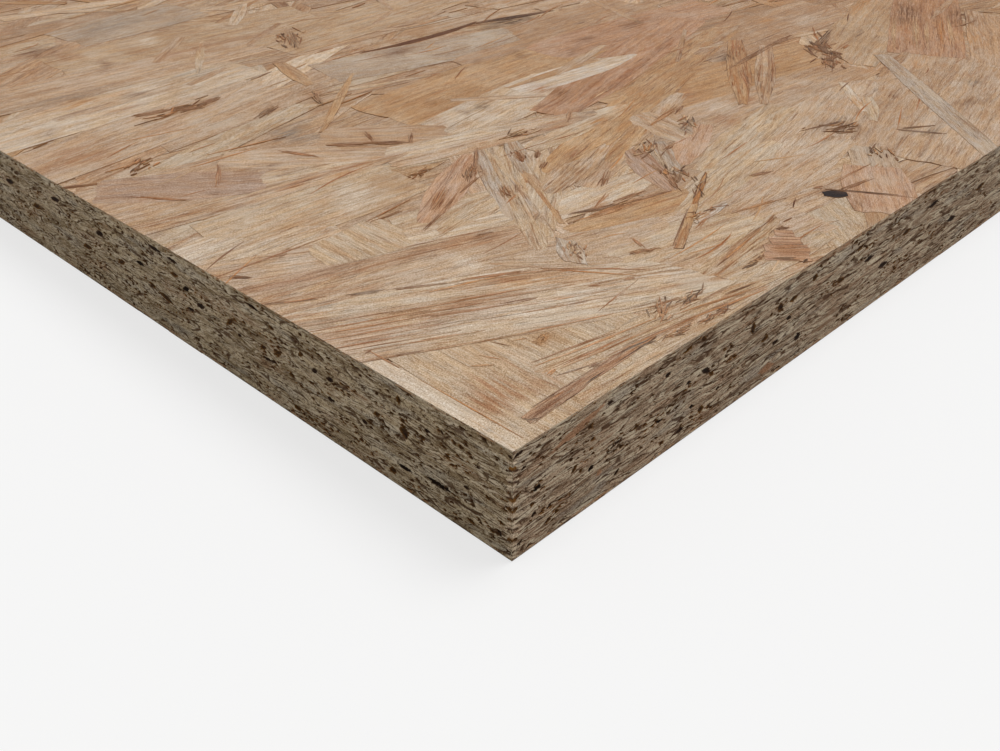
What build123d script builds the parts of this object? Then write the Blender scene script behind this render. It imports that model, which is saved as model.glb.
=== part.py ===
from build123d import *
import os
from dataclasses import dataclass

# Oriented strand board: one full square-edged sheet, lying flat.
# Millimetres. The origin is the centre of the lower face, +X runs along the sheet's length,
# the way most face strands lie, +Y across its width and +Z up.

# Sheet
sheet_length = 2500.0
sheet_width = 1250.0
sheet_thickness = 22.0
arris_break = 0.25  # width of the rubbed-off saw arris

# Pressed strands
strand_thickness = 1.2  # one layer of strands after pressing
strand_lie = 30.0  # degrees that a face strand may turn from the sheet's length

# Gaps between strands that open on the four sawn edges
edge_gap_length = 7.0
edge_gap_height = 0.8
edge_gap_depth = 3.0
edge_gap_pitch = 60.0

# Gaps between strands that open on the two pressed faces
face_gap_length = 7.0
face_gap_width = 2.6
face_gap_depth = 1.4
face_gap_pitch = 250.0

# Shape of a gap: pointed ends, with shoulders at this share of the half length
gap_shoulder = 0.55
gap_slant = 0.35  # how far one shoulder sits back from the one opposite
gap_size_swing = 0.4  # share by which the gaps of a pattern differ in size

# Steps that spread a pattern evenly without lining its members up
golden_step = 0.618034
second_step = 0.754878

# Front edge, right edge, back edge and left edge, in the order that goes round the sheet
FRONT, RIGHT, BACK, LEFT = range(4)


@dataclass
class Gap:
    """A gap that the near corner shows: its place from that corner and its size."""

    from_corner: float
    below_face: float
    length: float
    height: float


# The three long gaps beside the corner where the front and left edges meet
left_gaps = [
    Gap(from_corner=17.5, below_face=16.0, length=6.0, height=0.9),
    Gap(from_corner=25.5, below_face=17.2, length=4.0, height=0.8),
]
front_gaps = [Gap(from_corner=19.0, below_face=14.0, length=3.2, height=1.3)]

# The open pocket in the upper face, from the same corner
pocket_along = 117.0
pocket_across = 14.0
pocket_length = 4.6
pocket_width = 3.4
pocket_lie = 70.0

# Worked out
layer_count = max(2, round(sheet_thickness / strand_thickness))
layer_height = sheet_thickness / layer_count


def spread(index, step):
    """A share between 0 and 1 that never falls into rows as the index counts up."""
    return (index + 1) * step % 1.0


def swing(index, step):
    """A factor around 1 that makes the gaps of a pattern differ in size."""
    return 1 + gap_size_swing * (2 * spread(index, step) - 1)


def sliver(length, height):
    """Six-sided outline of a gap between strands, pointed at both ends."""
    tip = length / 2
    shoulder = tip * gap_shoulder
    back = shoulder * gap_slant
    side = height / 2
    return make_face(
        Polyline(
            (-tip, 0),
            (-shoulder, side),
            (shoulder - back, side),
            (tip, 0),
            (shoulder, -side),
            (back - shoulder, -side),
            close=True,
        )
    )


def edge_plane(turn):
    """Plane of a sawn edge: outward normal, its own X along the edge and its own Y up."""
    reach = (sheet_length if turn % 2 else sheet_width) / 2
    outward = Vector(0, -1, 0).rotate(Axis.Z, 90 * turn)
    along = Vector(1, 0, 0).rotate(Axis.Z, 90 * turn)
    return Plane(origin=outward * reach, x_dir=along, z_dir=outward)


def edge_length(turn):
    """Length of a sawn edge."""
    return sheet_width if turn % 2 else sheet_length


def edge_gap(turn, along, up, length, height):
    """Cutter for a gap in a sawn edge, at a distance along it from its middle."""
    mouth = edge_plane(turn) * Pos(along, up, 0) * sliver(length, height)
    return extrude(mouth, -edge_gap_depth)


def corner_gaps():
    """Cutters for the long gaps beside the corner of the front and left edges."""
    cutters = []
    for gap in front_gaps:
        along = gap.from_corner - sheet_length / 2
        cutters.append(edge_gap(FRONT, along, sheet_thickness - gap.below_face, gap.length, gap.height))
    for gap in left_gaps:
        along = sheet_width / 2 - gap.from_corner
        cutters.append(edge_gap(LEFT, along, sheet_thickness - gap.below_face, gap.length, gap.height))
    return cutters


def edge_pattern(turn):
    """Cutters for the gaps along one sawn edge, each on a joint between two layers."""
    length = edge_length(turn)
    count = int(length // edge_gap_pitch)
    pitch = length / count
    cutters = []
    for index in range(count):
        pick = index + turn * count
        along = (index + 0.5 + 0.25 * (2 * spread(pick, golden_step) - 1)) * pitch - length / 2
        joint = 1 + int(spread(pick, second_step) * (layer_count - 1))
        cutters.append(
            edge_gap(
                turn,
                along,
                joint * layer_height,
                edge_gap_length * swing(pick, second_step),
                edge_gap_height * swing(pick, golden_step),
            )
        )
    return cutters


def face_gap(plane, along, across, lie, length, width):
    """Cutter for a gap in a pressed face, turned by its lie in degrees."""
    mouth = plane * Pos(along, across, 0) * Rot(0, 0, lie) * sliver(length, width)
    return extrude(mouth, -face_gap_depth)


def face_pattern(plane, start):
    """Cutters for the gaps spread over one pressed face."""
    columns = int(sheet_length // face_gap_pitch)
    rows = int(sheet_width // face_gap_pitch)
    cutters = []
    for column in range(columns):
        for row in range(rows):
            pick = start + column * rows + row
            along = (column + 0.2 + 0.6 * spread(pick, golden_step)) / columns - 0.5
            across = (row + 0.2 + 0.6 * spread(pick, second_step)) / rows - 0.5
            lie = strand_lie * (2 * spread(pick, golden_step * second_step) - 1)
            cutters.append(
                face_gap(
                    plane,
                    along * sheet_length,
                    across * sheet_width,
                    lie,
                    face_gap_length * swing(pick, golden_step),
                    face_gap_width * swing(pick, second_step),
                )
            )
    return cutters


upper_face = Plane(origin=(0, 0, sheet_thickness), x_dir=(1, 0, 0), z_dir=(0, 0, 1))
lower_face = Plane(origin=(0, 0, 0), x_dir=(1, 0, 0), z_dir=(0, 0, -1))

# The sheet as sawn, with its arrises just rubbed
blank = Pos(0, 0, sheet_thickness / 2) * Box(sheet_length, sheet_width, sheet_thickness)
sheet = chamfer(blank.edges(), arris_break)

# Everything that opens on its six sides
gaps = corner_gaps()
gaps.append(
    face_gap(
        upper_face,
        pocket_along - sheet_length / 2,
        pocket_across - sheet_width / 2,
        pocket_lie,
        pocket_length,
        pocket_width,
    )
)
for turn in (FRONT, RIGHT, BACK, LEFT):
    gaps += edge_pattern(turn)
gaps += face_pattern(upper_face, 0)
gaps += face_pattern(lower_face, len(gaps))

osb_panel = sheet - gaps
osb_panel.label = "osb_panel"

os.makedirs("parts", exist_ok=True)
export_step(osb_panel, "parts/osb_panel.step")
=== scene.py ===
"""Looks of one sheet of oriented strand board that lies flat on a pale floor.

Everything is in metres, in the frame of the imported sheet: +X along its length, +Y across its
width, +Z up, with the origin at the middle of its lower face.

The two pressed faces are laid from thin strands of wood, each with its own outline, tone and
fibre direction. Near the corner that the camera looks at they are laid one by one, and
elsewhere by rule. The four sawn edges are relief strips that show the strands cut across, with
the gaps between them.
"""

import logging
import math
from dataclasses import dataclass, replace
from enum import Enum
from typing import Iterable, Sequence

import bmesh
import bpy
import numpy as np
from bpy.types import ID, Material, Mesh, Node, NodeSocket, NodeTree, Object, World
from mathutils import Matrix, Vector


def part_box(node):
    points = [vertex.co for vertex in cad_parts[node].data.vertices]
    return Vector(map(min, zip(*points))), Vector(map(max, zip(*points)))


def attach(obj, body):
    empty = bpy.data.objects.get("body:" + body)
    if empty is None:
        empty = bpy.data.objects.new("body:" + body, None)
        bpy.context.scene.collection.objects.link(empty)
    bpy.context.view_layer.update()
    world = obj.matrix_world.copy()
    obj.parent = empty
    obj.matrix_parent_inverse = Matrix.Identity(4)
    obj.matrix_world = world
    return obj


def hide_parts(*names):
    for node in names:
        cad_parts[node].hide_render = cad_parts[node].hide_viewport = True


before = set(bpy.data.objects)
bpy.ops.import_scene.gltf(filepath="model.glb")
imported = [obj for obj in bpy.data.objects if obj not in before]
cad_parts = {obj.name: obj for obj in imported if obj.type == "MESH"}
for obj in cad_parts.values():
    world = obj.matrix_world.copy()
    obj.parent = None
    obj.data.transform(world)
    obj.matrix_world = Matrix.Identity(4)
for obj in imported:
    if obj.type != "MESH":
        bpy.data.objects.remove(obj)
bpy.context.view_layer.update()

logging.basicConfig(level=logging.INFO, format="%(message)s")
log = logging.getLogger("strand_board")

NODE = "osb_panel"
BODY = "root"
MM = 0.001
BAKE_MAP = "OFBake"
VALUE_FIELDS = {"FLOAT": "value", "FLOAT_VECTOR": "vector", "FLOAT_COLOR": "color"}

Colour = tuple[float, float, float, float]
Pair = tuple[float, float]


def linear(red: int, green: int, blue: int) -> Colour:
    """Turns a colour as seen on a screen, 0 to 255 each, into the shader's linear one."""
    parts = [c / 255 for c in (red, green, blue)]
    return (*(c / 12.92 if c <= 0.04045 else ((c + 0.055) / 1.055) ** 2.4 for c in parts), 1.0)


class Tone(Enum):
    """Colours of single strands, as a maker would sort them, and the painted shade of holes, gaps and pits.
    """

    WHITE = linear(208, 192, 172)
    CREAM = linear(200, 178, 151)
    STRAW = linear(191, 166, 136)
    SAND = linear(187, 159, 130)
    TAN = linear(181, 151, 121)
    HONEY = linear(183, 147, 108)
    ROSE = linear(184, 147, 117)
    MAUVE = linear(172, 142, 118)
    OCHRE = linear(176, 128, 82)
    RUSSET = linear(160, 112, 74)
    UMBER = linear(112, 74, 46)
    BARK = linear(72, 47, 30)
    ASH = linear(180, 160, 138)
    SLATE = linear(138, 122, 106)
    # Painted shade: the near-black inside a hole in the face, and inside gaps and pits of the sawn edges
    VOID = linear(26, 15, 17)
    PITCH = linear(40, 26, 16)
    RUST = linear(122, 80, 32)
    ROSEWOOD = linear(156, 117, 88)


# Short names for the lists of strands, stains and marks below
(
    WHITE, CREAM, STRAW, SAND, TAN, HONEY, ROSE, MAUVE, OCHRE, RUSSET, UMBER, BARK, ASH, SLATE,
    VOID, PITCH, RUST, ROSEWOOD,
) = Tone


def put(name: str, data: ID) -> Object:
    """Makes an object and puts it in the scene.

    Args:
        name: The object's name.
        data: Its mesh, lamp or camera.

    Returns:
        The object.
    """
    thing = bpy.data.objects.new(name, data)
    bpy.context.scene.collection.objects.link(thing)
    return thing


def write(mesh: Mesh, name: str, kind: str, values: np.ndarray) -> None:
    """Writes a named attribute with one row of values to each vertex."""
    made = mesh.attributes.new(name, kind, "POINT")
    made.data.foreach_set(VALUE_FIELDS[kind], values.astype(np.float32).ravel())


def settle(thing: Object, tree: NodeTree, values: dict[str, object]) -> Mesh:
    """Runs a geometry tree on an object.

    Args:
        thing: The object.
        tree: The tree.
        values: The tree's inputs, by identifier.

    Returns:
        The plain mesh that comes out of it.
    """
    modifier = thing.modifiers.new(tree.name, "NODES")
    modifier.node_group = tree
    for label, value in values.items():
        modifier[label] = value
    graph = bpy.context.evaluated_depsgraph_get()
    return bpy.data.meshes.new_from_object(thing.evaluated_get(graph), depsgraph=graph)


@dataclass(frozen=True)
class Signal:
    """One output inside a node tree. Python's operators on it add Math nodes to that tree."""

    wiring: "Wiring"
    socket: NodeSocket

    def __add__(self, other: object) -> "Signal":
        """Adds a number or another signal."""
        return self.wiring.math("ADD", self, other)

    def __sub__(self, other: object) -> "Signal":
        """Takes a number or another signal away."""
        return self.wiring.math("SUBTRACT", self, other)

    def __rsub__(self, other: object) -> "Signal":
        """Takes the signal away from a number."""
        return self.wiring.math("SUBTRACT", other, self)

    def __mul__(self, other: object) -> "Signal":
        """Multiplies by a number or another signal."""
        return self.wiring.math("MULTIPLY", self, other)

    def __truediv__(self, other: object) -> "Signal":
        """Divides by a number or another signal."""
        return self.wiring.math("DIVIDE", self, other)

    def __pow__(self, power: float) -> "Signal":
        """Raises to a power."""
        return self.wiring.math("POWER", self, power)

    def __abs__(self) -> "Signal":
        """Drops the sign."""
        return self.wiring.math("ABSOLUTE", self)

    def kept(self) -> "Signal":
        """Makes the signal's own Math node keep its result between 0 and 1."""
        self.socket.node.use_clamp = True
        return self


class Wiring:
    """Adds nodes to one tree and joins them. Shader and geometry trees share the same nodes."""

    def __init__(self, tree: NodeTree) -> None:
        """Starts on a tree."""
        self.tree = tree

    @classmethod
    def of(cls, owner: Material | World) -> "Wiring":
        """Starts on the emptied tree of a new material or world.

        Args:
            owner: The material or world.

        Returns:
            The wiring.
        """
        owner.use_nodes = True
        owner.node_tree.nodes.clear()
        return cls(owner.node_tree)

    def node(self, kind: str, **settings: object) -> Node:
        """Adds a node.

        Args:
            kind: The node's type name.
            settings: Properties to set on it.

        Returns:
            The node.
        """
        made = self.tree.nodes.new(kind)
        for name, value in settings.items():
            setattr(made, name, value)
        return made

    def feed(self, socket: NodeSocket, value: object) -> None:
        """Links a socket, or sets its own value.

        Args:
            socket: The input.
            value: A signal, or a plain value.
        """
        if isinstance(value, Signal):
            self.tree.links.new(value.socket, socket)
        else:
            socket.default_value = value

    def add(
        self, kind: str, inputs: dict[int | str, object], output: int | str = 0, **settings: object
    ) -> Signal:
        """Adds a node and feeds its inputs.

        Args:
            kind: The node's type name.
            inputs: What goes into each input, by number or name.
            output: The output that is wanted, by number or name.
            settings: Properties to set on the node.

        Returns:
            That output.
        """
        made = self.node(kind, **settings)
        for name, value in inputs.items():
            self.feed(made.inputs[name], value)
        return Signal(self, made.outputs[output])

    def math(self, operation: str, *values: object) -> Signal:
        """Works out a number from one or two others."""
        return self.add("ShaderNodeMath", dict(enumerate(values)), operation=operation)

    def vector(self, operation: str, *values: object) -> Signal:
        """Works out a vector from two others."""
        return self.add("ShaderNodeVectorMath", dict(enumerate(values)), operation=operation)

    def combine(self, *parts: object) -> Signal:
        """Makes a vector of three numbers."""
        return self.add("ShaderNodeCombineXYZ", dict(enumerate(parts)))

    def split(self, vector: Signal) -> list[Signal]:
        """Takes a vector apart into its three numbers."""
        made = self.add("ShaderNodeSeparateXYZ", {0: vector})
        return [Signal(self, part) for part in made.socket.node.outputs]

    def noise(self, vector: Signal, detail: float = 2.0, roughness: float = 0.5) -> Signal:
        """Reads smooth noise around 0.5, with one lump to each unit of its vector."""
        inputs = {"Vector": vector, "Scale": 1.0, "Detail": detail, "Roughness": roughness}
        return self.add("ShaderNodeTexNoise", inputs, noise_dimensions="3D")

    def cells(self, vector: Signal, feature: str, output: str) -> Signal:
        """Reads Voronoi cells of about one unit."""
        inputs = {"Vector": vector, "Scale": 1.0}
        return self.add("ShaderNodeTexVoronoi", inputs, output, voronoi_dimensions="3D", feature=feature)

    def ramp(
        self, value: Signal, low: float, high: float, start: object = 0.0, end: object = 1.0
    ) -> Signal:
        """Eases from start to end as a number goes from low to high."""
        inputs = {"Value": value, "From Min": low, "From Max": high, "To Min": start, "To Max": end}
        return self.add("ShaderNodeMapRange", inputs, interpolation_type="SMOOTHSTEP")

    def mix(self, share: object, first: object, second: object, blend: str = "MIX") -> Signal:
        """Mixes as much of a second colour into a first one as the share says."""
        inputs = {0: share, 6: first, 7: second}
        return self.add("ShaderNodeMix", inputs, 2, data_type="RGBA", blend_type=blend)

    def times(self, colour: object, other: object) -> Signal:
        """Multiplies two colours."""
        return self.mix(1.0, colour, other, "MULTIPLY")

    def soak(self, share: Signal, colour: Signal, stain: Colour) -> Signal:
        """Lets a stain soak into a colour as far as the share says."""
        return self.mix(share, colour, self.times(colour, stain))

    def swing(self, *parts: tuple[Signal, float]) -> Signal:
        """Adds noises up to a factor that swings around 1.

        Args:
            parts: Each noise with its weight.

        Returns:
            The factor.
        """
        total = 1.0
        for noise, weight in parts:
            total = (noise - 0.5) * weight + total
        return total

    def attribute(self, name: str, output: str = "Vector") -> Signal:
        """Reads a mesh attribute in a material."""
        return self.add("ShaderNodeAttribute", {}, output, attribute_name=name)

    def named(self, name: str, kind: str = "FLOAT") -> Signal:
        """Reads a mesh attribute in a geometry tree."""
        return self.add("GeometryNodeInputNamedAttribute", {0: name}, data_type=kind)

    def shade(self, finish: object, colour: Signal, roughness: Signal, height: Signal) -> None:
        """Ends a material with its shader and its fine relief.

        Args:
            finish: The finish, with its gloss, its bump and its relief's depth.
            colour: The base colour.
            roughness: The roughness.
            height: The relief's height, from 0 to about 1.
        """
        inputs = {"Strength": finish.bump, "Distance": finish.relief, "Height": height}
        normal = self.add("ShaderNodeBump", inputs)
        inputs = {"Base Color": colour, "Roughness": roughness, "Specular IOR Level": finish.gloss}
        shader = self.add("ShaderNodeBsdfPrincipled", inputs | {"Normal": normal})
        self.feed(self.node("ShaderNodeOutputMaterial").inputs[0], shader)

    def start(self) -> dict[str, Signal]:
        """Lists a geometry tree's inputs by name."""
        return {part.name: Signal(self, part) for part in self.node("NodeGroupInput").outputs}

    def finish(self, shape: Signal, material: Signal) -> None:
        """Ends a geometry tree with its material."""
        dressed = self.add("GeometryNodeSetMaterial", {"Geometry": shape, "Material": material})
        self.feed(self.node("NodeGroupOutput").inputs[0], dressed)


@dataclass(frozen=True)
class Wood:
    """What a face strand is like at a point: its own numbers, then noises around 0.5."""

    along: Signal
    across: Signal
    seed: Signal
    streaks: Signal
    pale: Signal
    stained: Signal
    out_side: Signal
    side: Signal
    end: Signal
    half_width: Signal
    border: Signal
    fine: Signal
    grain: Signal
    vein: Signal
    band: Signal
    thread: Signal
    dash: Signal
    patch: Signal
    hue: Signal
    brush: Signal
    stain: Signal
    grit: Signal


@dataclass(frozen=True)
class StrandFinish:
    """Wood of the face strands: fine fibres, veins, brown growth bands, painted highlights on
    its grit, and dark rims of painted shadow along its outlines.

    The two sizes of a pattern are its run along the fibre and its pitch across it.
    """

    grain: Pair = (2.2 * MM, 0.24 * MM)
    fine: Pair = (15 * MM, 0.42 * MM)
    dash: Pair = (6.5 * MM, 0.42 * MM)
    thread: Pair = (20 * MM, 0.65 * MM)
    vein: Pair = (42 * MM, 1.25 * MM)
    band: Pair = (70 * MM, 3.4 * MM)
    patch: Pair = (13 * MM, 2.1 * MM)
    hue: Pair = (7 * MM, 1.9 * MM)
    brush: Pair = (8 * MM, 0.55 * MM)
    wander: Pair = (26 * MM, 9 * MM)
    wander_reach: float = 2.2 * MM
    grit_size: float = 0.26 * MM
    stain_size: float = 16 * MM
    rim_run: float = 7 * MM
    rim_width: Pair = (0.02 * MM, 0.34 * MM)
    least_width: float = 0.01 * MM
    relief: float = 0.24 * MM
    bump: float = 0.9
    gloss: float = 0.2
    roughness: float = 0.62
    darkest: float = 0.15
    warm: Colour = (1.015, 0.955, 0.865, 1)
    cool: Colour = (0.99, 1.04, 1.13, 1)
    thread_stain: Colour = (0.64, 0.44, 0.28, 1)
    dash_stain: Colour = (0.52, 0.36, 0.25, 1)
    patch_stain: Colour = (0.78, 0.58, 0.42, 1)
    band_stain: Colour = (0.70, 0.52, 0.38, 1)
    # Painted highlight: the pale glints on the grit
    painted_glint: Colour = linear(226, 212, 196)
    # Painted shadow: the thin dark line along each strand's outline
    rim: Colour = linear(88, 58, 40)
    wall: Colour = linear(150, 108, 64)

    def wood(self, w: Wiring) -> Wood:
        """Reads a strand's attributes and the noises of its wood.

        Args:
            w: The wiring.

        Returns:
            The wood.
        """

        def read(pattern: Pair, shift: float, detail: float = 2.0) -> Signal:
            """Noise drawn out along the fibre."""
            return w.noise(w.combine(along / pattern[0], bent / pattern[1], seed + shift), detail, 0.6)

        along, across, seed = w.split(w.attribute("fibre"))
        streaks, pale, stained = w.split(w.attribute("figure"))
        out_side, out_end, _ = w.split(w.attribute("rim"))
        half_width, half_length, border = w.split(w.attribute("reach"))
        side, end = half_width - abs(out_side), half_length - abs(out_end)
        bent = across
        bent = across + (read(self.wander, 0.0, 1.0) - 0.5) * self.wander_reach
        place = w.add("ShaderNodeTexCoord", {}, "Object")
        place = w.vector("ADD", place, w.combine(seed, 0.0, 0.0))
        return Wood(
            *(along, across, seed, streaks, pale, stained, out_side, side, end, half_width, border),
            fine=read(self.fine, 3.1, 3.0),
            grain=read(self.grain, 23.3),
            vein=read(self.vein, 7.7),
            band=read(self.band, 11.3, 1.0),
            thread=read(self.thread, 31.7),
            dash=read(self.dash, 41.3),
            patch=read(self.patch, 53.9),
            hue=read(self.hue, 61.3),
            brush=read(self.brush, 67.7, 3.0),
            stain=w.noise(w.vector("DIVIDE", place, (self.stain_size,) * 3), 3.0, 0.6),
            grit=w.noise(w.vector("DIVIDE", place, (self.grit_size,) * 3), 2.0, 0.75),
        )

    def grown(self, w: Wiring, wood: Wood, light: Signal, tick: Signal) -> Signal:
        """Colours the wood as it grew.

        Args:
            w: The wiring.
            wood: The wood.
            light: The fibres' light and dark.
            tick: Where the short brown ticks are.

        Returns:
            The colour.
        """
        colour = w.times(w.attribute("tint", "Color"), light)
        colour = w.times(colour, w.mix(w.ramp(wood.hue, 0.36, 0.64), self.warm, self.cool))
        veined = w.ramp(wood.vein, 0.66, 0.36, 0.2, 1.0)
        much = w.ramp(wood.streaks, 0.0, 1.0, 0.30, 1.0)
        colour = w.soak(w.ramp(wood.thread, 0.44, 0.39) * (veined * much), colour, self.thread_stain)
        colour = w.soak(tick, colour, self.dash_stain)
        patch = w.ramp(wood.patch, 0.55, 0.63) * w.ramp(wood.fine, 0.42, 0.54, 0.1, 1.0)
        patch = patch * w.ramp(wood.streaks, 0.0, 1.0, 0.35, 1.0)
        colour = w.soak(patch, colour, self.patch_stain)
        # Painted highlight: pale glints where the fine grainy bumps would catch the light
        painted_glint = w.ramp(wood.grit, 0.54, 0.63) * w.ramp(wood.grain, 0.46, 0.60, 0.2, 1.0)
        colour = w.mix(painted_glint * w.ramp(wood.pale, 0.0, 0.6, 0.0, 0.8), colour, self.painted_glint)
        streak = w.ramp(wood.band, 0.52, 0.68) * wood.streaks
        streak = (streak * w.ramp(wood.fine, 0.36, 0.60, 0.25, 0.9)).kept()
        colour = w.soak(streak, colour, self.band_stain)
        white = w.ramp(wood.stain, 0.50, 0.66) * wood.pale
        colour = w.mix((white * 0.5).kept(), colour, WHITE.value)
        rust = w.ramp(wood.stain, 0.47, 0.34) * wood.stained
        return w.mix((rust * 0.6).kept(), colour, OCHRE.value)

    def blotted(self, w: Wiring, wood: Wood, light: Signal, colour: Signal) -> Signal:
        """Lays soft blots over the wood and fades loose splinters into their surroundings.

        Args:
            w: The wiring.
            wood: The wood.
            light: The fibres' light and dark.
            colour: The colour so far.

        Returns:
            The colour.
        """
        feathered = w.ramp(wood.brush, 0.42, 0.58, 0.25, 1.5)
        soft = (w.attribute("blot", "Alpha") * feathered).kept()
        shade = w.times(w.attribute("blot", "Color"), light)
        colour = w.mix(soft, colour, shade)
        frayed = w.swing((wood.fine, 2.5), (wood.dash, 3.0), (wood.grain, 2.0))
        inner = wood.side / w.math("MAXIMUM", wood.half_width, self.least_width) + (frayed - 1.0)
        faded = w.ramp(inner, 0.65, 0.05) * (wood.border * -1.0).kept() ** 0.5
        around = w.times(SAND.value, light)
        return w.mix(faded, colour, w.mix(soft, around, shade))

    def outline_shadow(self, w: Wiring, wood: Wood) -> Signal:
        """Finds how dark the painted shadow along a strand's ragged outline is at a point."""
        place = w.combine(wood.along / self.rim_run, wood.seed, w.math("SIGN", wood.out_side))
        reach = w.ramp(w.noise(place, 3.0, 0.65), 0.44, 0.68, *self.rim_width)
        near = w.math("MINIMUM", wood.side, wood.end) / reach
        rim = (1.0 - w.ramp(near, 0.25, 1.0)).kept()
        return (rim * (wood.border * 0.95)).kept()

    def material(self) -> Material:
        """Builds the material.

        Returns:
            The material for pressed faces.
        """
        made = bpy.data.materials.new("strand_wood")
        w = Wiring.of(made)
        wood = self.wood(w)
        # Light and dark of the fibres and grit: partly the wood's own tone, partly painted shade of its fine
        # grainy relief
        value = w.swing(
            (wood.fine, 0.5), (wood.grain, 0.8), (wood.vein, 0.5), (wood.grit, 2.1), (wood.stain, 0.4)
        )
        value = w.math("MAXIMUM", value, self.darkest)
        light = w.combine(value * 1.16, value**1.32 * 1.152, value**1.72 * 1.166)
        tick = w.ramp(wood.dash, 0.58, 0.65) * (w.ramp(wood.vein, 0.66, 0.36, 0.2, 1.0) * 0.85)
        tick = tick * w.ramp(wood.streaks, 0.0, 1.0, 0.45, 1.0)
        colour = self.grown(w, wood, light, tick)
        colour = self.blotted(w, wood, light, colour)
        # Painted shadow: a thin dark line along the strand's ragged outline, where it lies on those below
        rim = self.outline_shadow(w, wood)
        colour = w.mix(rim, colour, self.rim)
        facing = abs(w.split(w.add("ShaderNodeNewGeometry", {}, "True Normal"))[2])
        colour = w.mix(w.ramp(facing, 0.6, 0.3) * 0.7, colour, self.wall)
        height = w.swing((wood.fine, 0.5), (wood.grain, 0.8), (wood.vein, 0.5), (wood.grit, 0.8))
        height = height - (rim * 0.5 + tick)
        w.shade(self, colour, (wood.vein - 0.5) * 0.3 + self.roughness, height)
        return made


@dataclass(frozen=True)
class Section:
    """What the cut strands of a sawn edge are like at a point, from 0 to 1 unless said."""

    tone: Signal
    gap: Signal
    streak: Signal
    line: Signal
    grit: Signal
    pit: Signal
    pore: Signal
    lap: Signal
    depth: Signal


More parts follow.
